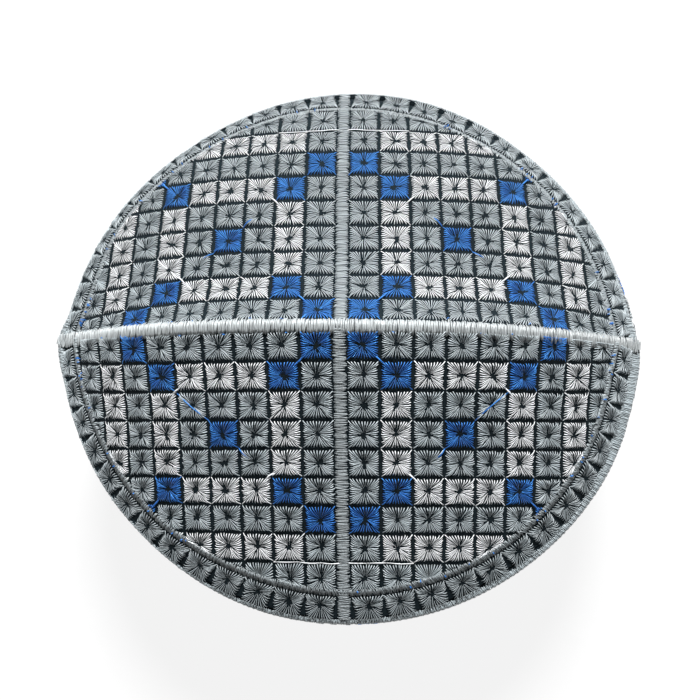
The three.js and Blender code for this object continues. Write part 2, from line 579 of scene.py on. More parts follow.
def loft(
    name: str,
    loops: np.ndarray,
    uv: np.ndarray,
    material: bpy.types.Material,
    closed: bool,
) -> bpy.types.Object:
    """Joins outlines, each a closed loop, into a closed surface.

    Args:
        name: The piece's name.
        loops: Outlines, as (count, sides, 3), in millimetres.
        uv: Cloth coordinates as (count or count + 1, sides + 1, 2), in millimetres.
        material: The piece's material.
        closed: Whether the last outline joins the first. Otherwise both ends are capped.

    Returns:
        The new object.
    """
    count, sides = loops.shape[:2]
    spans = count if closed else count - 1
    i, j = np.indices((spans, sides)).reshape(2, -1)
    a, b = i * sides, (i + 1) % count * sides
    k = (j + 1) % sides
    quads = np.stack([a + j, a + k, b + k, b + j], axis=1)
    corners = np.stack([uv[i, j], uv[i, j + 1], uv[i + 1, j + 1], uv[i + 1, j]], axis=1)
    faces, rows = [quads], [corners.reshape(-1, 2)]
    if not closed:
        ends = [np.arange(sides)[::-1], np.arange(sides) + (count - 1) * sides]
        faces.append(np.stack(ends))
        rows += [uv[0, :sides][::-1], uv[-1, :sides]]
    points = loops.reshape(-1, 3)
    first, second, third = (points[quads[:, n]] for n in (0, 1, 2))
    turned_in = np.einsum("ij,ij->i", first, np.cross(second, third)).sum() < 0
    layer = np.concatenate(rows)
    if turned_in:
        starts = np.cumsum([0] + [group.size for group in faces])
        flipped = [
            layer[starts[n] : starts[n + 1]].reshape(*group.shape, 2)[:, ::-1].reshape(-1, 2)
            for n, group in enumerate(faces)
        ]
        faces, layer = [group[:, ::-1] for group in faces], np.concatenate(flipped)
    return write_mesh(name, points, faces, UV_CLOTH, layer, [material])


@dataclass
class Threads:
    """Stitches gathered into one mesh: closed, thin, three-sided tubes with blunt ends.

    A thread stands loft_share of its width high. Its tips reach tip_reach half widths past its ends
    and lie tip_lift half widths high. Its twist starts at random within start_spread millimetres.
    """

    name: str
    rng: np.random.Generator
    loft_share: float = 0.2
    tip_reach: float = 0.7
    tip_lift: float = 0.5
    start_spread: float = 40.0
    batches: list[tuple[np.ndarray, ...]] = field(default_factory=list)

    def add(
        self,
        path: np.ndarray,
        normal: np.ndarray,
        half_width: np.ndarray,
        yarn: Yarn,
        darkening: np.ndarray | float = 0.0,
    ) -> None:
        """Adds stitches that all have the same number of points.

        Args:
            path: The middle of each stitch's foot, as (stitches, points, 3).
            normal: The cloth's normals there.
            half_width: Half of the thread's width, as (stitches, points).
            yarn: The thread.
            darkening: How much darker the stitches are painted, in shares of the thread's variation.
        """
        count, points = path.shape[:2]
        tangent = np.empty_like(path)
        tangent[:, 1:-1] = path[:, 2:] - path[:, :-2]
        tangent[:, 0] = path[:, 1] - path[:, 0]
        tangent[:, -1] = path[:, -1] - path[:, -2]
        tangent = unit(tangent)
        across = unit(np.cross(tangent, normal))
        upward = np.cross(across, tangent)
        wide = half_width[..., None]
        ring = np.stack(
            [path - across * wide, path + upward * wide * 2 * self.loft_share, path + across * wide],
            axis=2,
        )
        middle = upward * wide * self.tip_lift
        first = (path - tangent * wide * self.tip_reach + middle)[:, :1]
        last = (path + tangent * wide * self.tip_reach + middle)[:, -1:]
        vertices = np.concatenate([first, ring.reshape(count, points * 3, 3), last], axis=1)
        along = lengths_along(path, axis=1) + self.rng.uniform(0, self.start_spread, (count, 1))
        # Darkening lowers each stitch's tone: painted shade on the crown and the ridge seam, and a
        # plainly darker tone on the rim seam.
        tone = self.rng.uniform(0, 1, count) - darkening
        self.batches.append((vertices, along, np.full(count, yarn.value), tone))

    def build(self, materials: list[bpy.types.Material]) -> bpy.types.Object:
        """Writes all the stitches as one object.

        Args:
            materials: The threads' materials, in the order of Yarn.

        Returns:
            The new object.
        """
        vertices, quads, tips, quad_uv, tip_uv = [], [], [], [], []
        quad_yarn, tip_yarn, tones, start = [], [], [], 0
        for body, along, yarn, tone in self.batches:
            count, size = body.shape[:2]
            first = (start + np.arange(count)[:, None] * size)[:, :, None]
            # Three quads join each ring of three corners to the next. The first tip comes before
            # the rings and the last tip after them.
            corner, ring = np.indices((3, along.shape[1] - 1)).reshape(2, -1)
            near, after = 1 + 3 * ring + corner, 1 + 3 * ring + (corner + 1) % 3
            quad = np.stack([near, after, after + 3, near + 3], axis=1)
            lengths = along[:, np.stack([ring, ring, ring + 1, ring + 1], axis=1)]
            girth = np.stack([corner, corner + 1, corner + 1, corner], axis=1) / 3
            girth = np.broadcast_to(girth, lengths.shape)
            quads.append((first + quad).reshape(-1, 4))
            quad_uv.append(np.stack([lengths, girth], axis=-1).reshape(-1, 2))
            # Three triangles close each end.
            side = np.arange(3)
            head = np.stack([0 * side, 1 + (side + 1) % 3, 1 + side], axis=1)
            tail = np.stack([0 * side + 3, side, (side + 1) % 3], axis=1) + size - 4
            ends = np.repeat(along[:, [0, -1]], 3, axis=1)[..., None] + np.zeros(3)
            head_girth = np.stack([side + 0.5, side + 1.0, side + 0.0], axis=1) / 3
            tail_girth = np.stack([side + 0.5, side + 0.0, side + 1.0], axis=1) / 3
            girth = np.broadcast_to(np.concatenate([head_girth, tail_girth]), ends.shape)
            tips.append((first + np.concatenate([head, tail])).reshape(-1, 3))
            tip_uv.append(np.stack([ends, girth], axis=-1).reshape(-1, 2))
            quad_yarn.append(np.repeat(yarn, len(quad)))
            tip_yarn.append(np.repeat(yarn, 6))
            tones.append(np.repeat(tone, size))
            vertices.append(body.reshape(-1, 3))
            start += count * size
        return write_mesh(
            self.name,
            np.concatenate(vertices),
            [np.concatenate(quads), np.concatenate(tips)],
            UV_THREAD,
            np.concatenate(quad_uv + tip_uv),
            materials,
            np.concatenate(quad_yarn + tip_yarn),
            np.concatenate(tones),
        )


# Finishes


@dataclass
class NodeBench:
    """Puts nodes into a tree and joins them."""

    tree: bpy.types.NodeTree

    def node(self, kind: str, inputs: dict | None = None, **settings: object) -> bpy.types.Node:
        """Adds a node.

        Args:
            kind: The node's type, without its leading ShaderNode.
            inputs: Values or sockets for its inputs, by name or number.
            **settings: Values for its own properties.

        Returns:
            The new node.
        """
        made = self.tree.nodes.new(kind if kind.startswith("Node") else "ShaderNode" + kind)
        for key, value in settings.items():
            setattr(made, key, value)
        self.feed(made, inputs or {})
        return made

    def feed(self, fed: bpy.types.Node, inputs: dict) -> None:
        """Gives a node's inputs their values, or joins sockets to them.

        Args:
            fed: The node.
            inputs: Values or sockets, by the input's name or number.
        """
        for key, value in inputs.items():
            if isinstance(value, bpy.types.NodeSocket):
                self.tree.links.new(value, fed.inputs[key])
            else:
                fed.inputs[key].default_value = value

    def math(self, operation: str, *values: object) -> bpy.types.NodeSocket:
        """Output of a math node with these values or sockets."""
        return self.node("Math", dict(enumerate(values)), operation=operation).outputs[0]

    def mix(self, factor: object, first: object, second: object) -> bpy.types.NodeSocket:
        """Output of a colour mix of the first into the second."""
        made = self.node("Mix", {0: factor, 6: first, 7: second}, data_type="RGBA")
        return made.outputs[2]

    def scale(self, vector: object, factor: object) -> bpy.types.NodeSocket:
        """Output of a vector or colour times a number."""
        return self.node("VectorMath", {0: vector, 3: factor}, operation="SCALE").outputs[0]

    def noise(self, vector: object, scale: object, detail: float) -> bpy.types.NodeSocket:
        """Number from a noise texture."""
        made = self.node("TexNoise", {"Vector": vector, "Scale": scale, "Detail": detail})
        return made.outputs[0]

    def bump(self, height: object, strength: float, depth: float) -> bpy.types.NodeSocket:
        """Normal from a height, where depth is its full height in millimetres."""
        inputs = {"Height": height, "Strength": strength, "Distance": depth * METRE}
        return self.node("Bump", inputs).outputs[0]

    def span(
        self, value: object, low: float, high: float, to_low: float = 0.0, to_high: float = 1.0
    ) -> bpy.types.NodeSocket:
        """Output that goes from to_low to to_high as the value goes from low to high."""
        return self.node("MapRange", {0: value, 1: low, 2: high, 3: to_low, 4: to_high}).outputs[0]


def start_group(
    name: str, inputs: dict[str, object], outputs: dict[str, str]
) -> tuple[NodeBench, bpy.types.Node, bpy.types.Node]:
    """Starts a shader node group.

    Args:
        name: The group's name.
        inputs: Default values by input name, a number or a colour of four.
        outputs: Socket types by output name.

    Returns:
        The bench, the group's input node and its output node.
    """
    tree = bpy.data.node_groups.new(name, "ShaderNodeTree")
    for key, value in inputs.items():
        colour = isinstance(value, tuple)
        kind = COLOUR if colour else NUMBER
        socket = tree.interface.new_socket(name=key, in_out="INPUT", socket_type=kind)
        socket.default_value = value
    for key, kind in outputs.items():
        tree.interface.new_socket(name=key, in_out="OUTPUT", socket_type=kind)
    bench = NodeBench(tree)
    return bench, bench.node("NodeGroupInput"), bench.node("NodeGroupOutput")


def handling_group() -> bpy.types.NodeTree:
    """Soft patches of fading and dust, as a mask that every finish on the cap shares.

    Returns:
        The group.
    """
    bench, entry, result = start_group("Handling", {"Patch Size": 28.0, "Amount": 0.5}, {"Mask": NUMBER})
    grain, grain_share = 900.0, 0.35
    clean, faded = 0.45, 0.95
    place = bench.node("TexCoord").outputs["Object"]
    scale = bench.math("DIVIDE", 1 / METRE, entry.outputs["Patch Size"])
    broad = bench.noise(place, scale, 3.0)
    fine = bench.noise(place, grain, 2.0)
    both = bench.math("MULTIPLY_ADD", fine, grain_share, broad)
    mask = bench.span(both, clean, faded)
    bench.feed(result, {"Mask": bench.math("MULTIPLY", mask, entry.outputs["Amount"])})
    return bench.tree


def thread_group() -> bpy.types.NodeTree:
    """Twisted filaments of a thread: colour that differs by stitch and has painted shade in the grooves
    between filaments, filament height and a fuzz mask.

    Returns:
        The group.
    """
    bench, entry, result = start_group(
        "Twisted Thread",
        {"Colour": (0.5, 0.5, 0.5, 1.0), "Variation": 0.15, "Filaments": 7.0, "Twist": 0.9},
        {"Colour": COLOUR, "Height": NUMBER, "Fuzz": NUMBER},
    )
    strand_stretch, strand_scale = 0.8, 1.4
    uneven_share, groove_shade_share = 0.9, 0.25
    smooth, fuzzy = 0.45, 0.75
    tone = bench.node("Attribute", attribute_name=TONE, attribute_type="GEOMETRY").outputs["Fac"]
    uv = bench.node("UVMap", uv_map=UV_THREAD).outputs[0]
    along, round_thread, _ = bench.node("SeparateXYZ", {0: uv}).outputs
    girth = bench.math("MULTIPLY", round_thread, entry.outputs["Filaments"])
    turned = bench.math("MULTIPLY_ADD", along, entry.outputs["Twist"], girth)
    wave = bench.math("SINE", bench.math("MULTIPLY", turned, 2 * math.pi))
    height = bench.math("MULTIPLY_ADD", wave, 0.5, 0.5)
    stretched = bench.math("MULTIPLY", along, strand_stretch)
    strand = bench.node("CombineXYZ", {0: stretched, 1: girth, 2: tone}).outputs[0]
    uneven = bench.noise(strand, strand_scale, 2.0)
    stitch = bench.math("SUBTRACT", tone, 0.5)
    centred = bench.math("SUBTRACT", uneven, 0.5)
    patch = bench.math("MULTIPLY_ADD", centred, uneven_share, stitch)
    # Painted shade: the colour darkens in the grooves between the filaments, and differs at random by
    # stitch.
    patch_and_groove_shade = bench.math("MULTIPLY_ADD", bench.math("SUBTRACT", height, 1.0), groove_shade_share, patch)
    shade = bench.math("MULTIPLY_ADD", patch_and_groove_shade, entry.outputs["Variation"], 1.0)
    bench.feed(result, {
        "Colour": bench.scale(entry.outputs["Colour"], shade),
        "Height": height,
        "Fuzz": bench.span(uneven, smooth, fuzzy),
    })
    return bench.tree


def weave_group() -> bpy.types.NodeTree:
    """Plain weave on cloth coordinates in millimetres: colour with painted shade in the gaps, height and
    the gaps between yarns.

    Returns:
        The group.
    """
    bench, entry, result = start_group(
        "Plain Weave",
        {"Warp": (0.1, 0.1, 0.1, 1.0), "Weft": (0.1, 0.1, 0.1, 1.0), "Pitch": 0.5},
        {"Colour": COLOUR, "Height": NUMBER, "Gap": NUMBER},
    )
    drift_scale, drift_reach = 0.35, 0.5
    roundness, edge = 0.6, 0.15
    slub_scale, slub_share, slub_least = 1.1, 0.7, 0.35
    gap_shade_gain, gap_shade_level = 0.6, 0.7
    uv = bench.node("UVMap", uv_map=UV_CLOTH).outputs[0]
    drift = bench.node("TexNoise", {"Vector": uv, "Scale": drift_scale, "Detail": 2.0})
    nudge = bench.scale(drift.outputs["Color"], drift_reach)
    moved = bench.node("VectorMath", {0: uv, 1: nudge}, operation="ADD").outputs[0]
    across, down, _ = bench.node("SeparateXYZ", {0: moved}).outputs
    phase = bench.math("DIVIDE", math.pi, entry.outputs["Pitch"])
    warp = bench.math("SINE", bench.math("MULTIPLY", across, phase))
    weft = bench.math("SINE", bench.math("MULTIPLY", down, phase))
    over = bench.math("MULTIPLY", warp, weft)
    height = bench.math("POWER", bench.math("ABSOLUTE", over), roundness)
    side = bench.span(over, -edge, edge)
    colour = bench.mix(side, entry.outputs["Warp"], entry.outputs["Weft"])
    slub = bench.noise(uv, slub_scale, 4.0)
    slub = bench.math("MULTIPLY_ADD", slub, slub_share, slub_least)
    # Painted shade: the colour darkens where the yarns dip into the gaps between them.
    level = bench.math("MULTIPLY", slub, bench.math("MULTIPLY_ADD", height, gap_shade_gain, gap_shade_level))
    bench.feed(result, {
        "Colour": bench.scale(colour, level),
        "Height": height,
        "Gap": bench.math("SUBTRACT", 1.0, height),
    })
    return bench.tree


def start_material(name: str) -> tuple[bpy.types.Material, NodeBench, bpy.types.Node]:
    """Starts a material that holds a Principled BSDF.

    Args:
        name: The material's name.

    Returns:
        The material, its bench and that shader.
    """
    material = bpy.data.materials.new(name)
    material.use_nodes = True
    return material, NodeBench(material.node_tree), material.node_tree.nodes["Principled BSDF"]


@dataclass(frozen=True)
class ThreadFinish:
    """Lustrous embroidery thread."""

    name: str
    colour: tuple[float, float, float]
    faded: tuple[float, float, float]
    roughness: float = 0.42
    fuzz_roughness: float = 0.16
    gloss: float = 1.0
    ior: float = 1.7
    glint: tuple[float, float, float] = (1.0, 1.0, 1.0)
    sheen: float = 0.1
    sheen_roughness: float = 0.4
    variation: float = 0.3
    relief: float = 0.35
    filament_mm: float = 0.06

    def build(self, groups: dict[str, bpy.types.NodeTree]) -> bpy.types.Material:
        """Makes the material.

        Args:
            groups: The shared node groups by name.

        Returns:
            The material.
        """
        material, bench, shader = start_material(self.name)
        handling = bench.node("Group", node_tree=groups["handling"])
        colour = bench.mix(handling.outputs["Mask"], (*self.colour, 1.0), (*self.faded, 1.0))
        inputs = {"Colour": colour, "Variation": self.variation}
        thread = bench.node("Group", inputs, node_tree=groups["thread"])
        roughest = self.roughness + self.fuzz_roughness
        bench.feed(shader, {
            "Base Color": thread.outputs["Colour"],
            "Roughness": bench.span(thread.outputs["Fuzz"], 0.0, 1.0, self.roughness, roughest),
            "Normal": bench.bump(thread.outputs["Height"], self.relief, self.filament_mm),
            "Sheen Weight": self.sheen,
            "Sheen Roughness": self.sheen_roughness,
            "Specular IOR Level": self.gloss,
            "IOR": self.ior,
            "Specular Tint": (*self.glint, 1.0),
        })
        return material


@dataclass(frozen=True)
class ClothFinish:
    """Plain woven cloth, with lint in its weave."""

    name: str
    warp: tuple[float, float, float]
    weft: tuple[float, float, float]
    pitch: float = 0.42
    roughness: float = 0.82
    yarn_smoothing: float = 0.08
    gap_roughness: float = 0.1
    lint_gain: float = 1.5
    lint_lift: float = 0.004
    lint_amount: float = 0.35
    relief: float = 0.7
    yarn_mm: float = 0.15
    sheen: float = 0.02
    sheen_roughness: float = 0.5
    gloss: float = 0.08

    def build(self, groups: dict[str, bpy.types.NodeTree]) -> bpy.types.Material:
        """Makes the material.

        Args:
            groups: The shared node groups by name.

        Returns:
            The material.
        """
        material, bench, shader = start_material(self.name)
        inputs = {"Warp": (*self.warp, 1.0), "Weft": (*self.weft, 1.0), "Pitch": self.pitch}
        weave = bench.node("Group", inputs, node_tree=groups["weave"])
        handling = bench.node("Group", {"Amount": self.lint_amount}, node_tree=groups["handling"])
        lint = tuple(self.lint_gain * part + self.lint_lift for part in self.weft)
        smoothest = self.roughness - self.yarn_smoothing
        roughest = self.roughness + self.gap_roughness
        bench.feed(shader, {
            "Base Color": bench.mix(handling.outputs["Mask"], weave.outputs["Colour"], (*lint, 1.0)),
            "Roughness": bench.span(weave.outputs["Gap"], 0.0, 1.0, smoothest, roughest),
            "Normal": bench.bump(weave.outputs["Height"], self.relief, self.yarn_mm),
            "Sheen Weight": self.sheen,
            "Sheen Roughness": self.sheen_roughness,
            "Specular IOR Level": self.gloss,
        })
        return material


class Wardrobe:
    """All the cap's finishes."""

    def __init__(self) -> None:
        """Builds the shared groups and the materials."""
        groups = {"handling": handling_group(), "thread": thread_group(), "weave": weave_group()}
        grey = ThreadFinish("grey_thread", (0.46, 0.53, 0.56), (0.53, 0.60, 0.63))
        white = ThreadFinish("white_thread", (0.93, 0.95, 0.97), (0.95, 0.965, 0.98), variation=0.15)
        blue = ThreadFinish(
            "blue_thread", (0.027, 0.128, 0.52), (0.040, 0.18, 0.62), ior=2.4, glint=(0.13, 0.48, 1.0)
        )
        seam = ThreadFinish("seam_thread", (0.46, 0.50, 0.51), (0.52, 0.55, 0.56), roughness=0.44)
        ground = ClothFinish("ground_cloth", (0.007, 0.014, 0.018), (0.011, 0.019, 0.024))
        core = ClothFinish("seam_core_cloth", (0.16, 0.18, 0.19), (0.20, 0.22, 0.23), pitch=0.5)
        binding = ClothFinish("binding_cloth", (0.040, 0.052, 0.058), (0.055, 0.068, 0.074), pitch=0.36)
        self.embroidery = [finish.build(groups) for finish in (grey, white, blue)]
        self.seam = [seam.build(groups), self.embroidery[1], self.embroidery[2]]
        self.cloth, self.core, self.binding = (
            finish.build(groups) for finish in (ground, core, binding)
        )


# Embroidery

YARN_OF = {"G": Yarn.GREY, "W": Yarn.WHITE, "B": Yarn.BLUE}


@dataclass(frozen=True)
class Motif:
    """One square motif: stitches that fan from its edges into a hole in the middle.

    Sizes in the flat drawing are in motif widths, and crest, thread and motif_mm in millimetres.
    Steps are shares of a stitch's length from its outer end. There its height is arch times the
    crest, and its half width taper times the thread.
    """

    spacing: float = 0.093
    hole: float = 0.125
    crest: float = 0.78
    thread: float = 0.165
    steps: tuple[float, ...] = (0.0, 0.20, 0.40, 0.70, 1.0)
    arch: tuple[float, ...] = (0.15, 0.95, 0.85, 0.45, 0.05)
    taper: tuple[float, ...] = (0.86, 0.98, 0.86, 0.55, 0.34)
    motif_mm: float = 9.77
    side_places: int = 48
    ray_places: int = 61
    short_ray_places: int = 41
    fewest_in_cut: int = 8
    fewest_in_side: int = 3
    side_change: float = 0.3
    place_spread: float = 0.004
    tip_spread: float = 0.014
    corner_extra: float = 0.02
    deep_share: float = 0.25
    deep_extra: float = 0.8
    depth_from_to: tuple[float, float] = (0.5, 1.4)
    deepest: float = 0.5
    turn_spread: float = 0.006
    shortest_seen: int = 3
    hidden_length: float = 0.4
    bow: float = 0.004
    full_length: float = 0.5
    least_relief: float = 0.45
    foot_mm: float = 0.04
    crest_spread: float = 0.09
    width_spread: float = 0.08

    def within(self, places: np.ndarray, ring: tuple[np.ndarray, np.ndarray]) -> np.ndarray:
        """Whether flat places lie inside the ring, given by its angles and distances."""
        angle = np.arctan2(places[..., 1], places[..., 0])
        return np.hypot(places[..., 0], places[..., 1]) < np.interp(angle, *ring)

    def on_loop(self, edge: np.ndarray, at: np.ndarray) -> np.ndarray:
        """Places at distances round a closed outline.

        Args:
            edge: Places round the outline, in order.
            at: Distances from the first, up to the outline's girth.

        Returns:
            The places.
        """
        loop = np.vstack([edge, edge[:1]])
        arc = lengths_along(loop)
        return np.stack([np.interp(at, arc, loop[:, k]) for k in (0, 1)], axis=1)

    def stitches(
        self,
        corners: np.ndarray,
        rng: np.random.Generator,
        ring: tuple[np.ndarray, np.ndarray] | None = None,
        reach: float = 0.0,
    ) -> tuple[np.ndarray, np.ndarray, np.ndarray]:
        """Lays out the fan of one motif in the flat drawing.

        Args:
            corners: The four corners, in order.
            rng: Source of the stitches' unevenness.
            ring: Angles and distances of the ring that cuts the motif off, or None.
            reach: How far the corner stitches run past their corners.

        Returns:
            Places, as (stitches, points, 2), lifts in millimetres and half widths in millimetres.
        """
        sides = np.roll(corners, -1, axis=0) - corners
        fine = np.linspace(0, 1, self.side_places, endpoint=False)
        edge = (corners[:, None] + sides[:, None] * fine[None, :, None]).reshape(-1, 2)
        centre = corners.mean(axis=0)
        cut = ring is not None and not self.within(corners, ring).all()
        if cut and not self.within(centre, ring):
            return self.hidden(edge, centre, rng, ring)
        if cut:
            edge = self.seen(edge, centre, ring)
        at, corner, girth = self.starts(edge, cut)
        at = at + rng.normal(0, self.place_spread, len(at)) * ~corner
        tip = self.on_loop(edge, at % girth)
        each = (len(tip), 1)
        hole = centre + rng.normal(0, self.tip_spread, 2)
        ray = tip - hole
        length = np.linalg.norm(ray, axis=1, keepdims=True)
        outward = ray / np.maximum(length, TINY)
        tip = tip + outward * rng.normal(0, self.tip_spread, each)
        tip = tip + outward * (corner[:, None] * (reach + rng.uniform(0, self.corner_extra, each)))
        deep = 1.0 + self.deep_extra * (rng.uniform(0, 1, each) < self.deep_share)
        depth = self.hole * deep * rng.uniform(*self.depth_from_to, each)
        depth = np.minimum(depth, self.deepest * length)
        turned = np.stack([-outward[:, 1], outward[:, 0]], axis=1)
        end = hole + outward * depth + turned * rng.normal(0, self.turn_spread, each)
        return self.paths(tip, end, float(length.mean()), rng)

    def starts(self, edge: np.ndarray, cut: bool) -> tuple[np.ndarray, np.ndarray, float]:
        """Spreads the stitches' outer ends round an outline.

        Args:
            edge: Places round the outline.
            cut: Whether the ring cuts it, so that it has no corners.

        Returns:
            Distances round it, whether each is a corner, and its girth.
        """
        arc = lengths_along(np.vstack([edge, edge[:1]]))
        if cut:
            count = max(self.fewest_in_cut, round(arc[-1] / self.spacing))
            return np.arange(count) / count * arc[-1], np.zeros(count, bool), arc[-1]
        places, corner = [], []
        for number in range(4):
            low, high = arc[self.side_places * number], arc[self.side_places * (number + 1)]
            change = self.side_change if number % 2 else -self.side_change
            count = max(self.fewest_in_side, round((high - low) / self.spacing + change))
            places.append(low + (high - low) * np.arange(count) / count)
            corner += [True] + [False] * (count - 1)
        return np.concatenate(places), np.array(corner), arc[-1]

    def seen(
        self, edge: np.ndarray, centre: np.ndarray, ring: tuple[np.ndarray, np.ndarray]
    ) -> np.ndarray:
        """Draws in an outline so that it stops at the ring, and spreads its places evenly.

        Args:
            edge: Places round the outline.
            centre: Its middle, which lies inside the ring.
            ring: Angles and distances of the ring.

        Returns:
            As many places round what is left.
        """
        shares = np.linspace(0, 1, self.ray_places)
        rays = centre + (edge - centre)[:, None] * shares[None, :, None]
        inside = np.minimum.accumulate(self.within(rays, ring), axis=1)
        drawn = rays[np.arange(len(edge)), inside.sum(axis=1) - 1]
        girth = lengths_along(np.vstack([drawn, drawn[:1]]))[-1]
        return self.on_loop(drawn, np.arange(len(edge)) / len(edge) * girth)

    def hidden(
        self,
        edge: np.ndarray,
        centre: np.ndarray,
        rng: np.random.Generator,
        ring: tuple[np.ndarray, np.ndarray],
    ) -> tuple[np.ndarray, np.ndarray, np.ndarray]:
        """Lays out what shows of a motif whose middle lies under the ring or past it.

        Args:
            edge: Places round the motif's outline.
            centre: Its middle.
            rng: Source of the stitches' unevenness.
            ring: Angles and distances of the ring.

        Returns:
            The same as stitches.
        """
        shares = np.linspace(0, 1, self.short_ray_places)
        rays = edge[:, None] + (centre - edge)[:, None] * shares[None, :, None]
        inside = np.minimum.accumulate(self.within(rays, ring), axis=1).sum(axis=1) - 1
        step = float(np.linalg.norm(edge[1] - edge[0]))
        chosen = np.arange(0, len(edge), max(1, round(self.spacing / step)))
        chosen = chosen[inside[chosen] > self.shortest_seen]
        tip, end = edge[chosen], rays[chosen, inside[chosen]]
        tip = tip + rng.normal(0, self.turn_spread, tip.shape)
        return self.paths(tip, end, self.hidden_length, rng)

    def paths(
        self, tip: np.ndarray, end: np.ndarray, length: float, rng: np.random.Generator
    ) -> tuple[np.ndarray, np.ndarray, np.ndarray]:
        """Draws stitches from their outer ends to their inner ends.

        Args:
            tip: Outer ends.
            end: Inner ends.
            length: The motif's usual distance from edge to hole, which sets its relief.
            rng: Source of the stitches' unevenness.

        Returns:
            Places, as (stitches, points, 2), lifts in millimetres and half widths in millimetres.
        """
        t = np.array(self.steps)
        each = (len(tip), 1)
        run = end - tip
        places = tip[:, None] + run[:, None] * t[None, :, None]
        turned = unit(np.stack([-run[:, 1], run[:, 0]], axis=1))
        bow = rng.normal(0, self.bow, each) * np.sin(np.pi * t)[None]
        places = places + turned[:, None] * bow[..., None]
        size = float(np.clip(length / self.full_length, self.least_relief, 1.0))
        crest = self.crest * size * rng.normal(1.0, self.crest_spread, each)
        lift = self.foot_mm + crest * np.array(self.arch)[None]
        wide = self.thread * np.array(self.taper)[None] * rng.normal(1, self.width_spread, each)
        return places, lift, wide


@dataclass
class Assembly:
    """What each part of the dressing is given: the finishes, and its source of unevenness."""

    wardrobe: Wardrobe
    rng: np.random.Generator

    def uneven(self, spread: float, count: int) -> np.ndarray:
        """Factors near 1, one for each of that many stitches, down a column."""
        return self.rng.normal(1, spread, (count, 1))

    def overcast_widths(self, thread: float, count: int) -> np.ndarray:
        """Half widths of overcast stitches of seven points, each stitch a little different."""
        spread, taper = 0.08, (0.6, 0.95, 1.0, 1.0, 1.0, 0.95, 0.6)
        return thread * self.uneven(spread, count) * np.array(taper)[None]


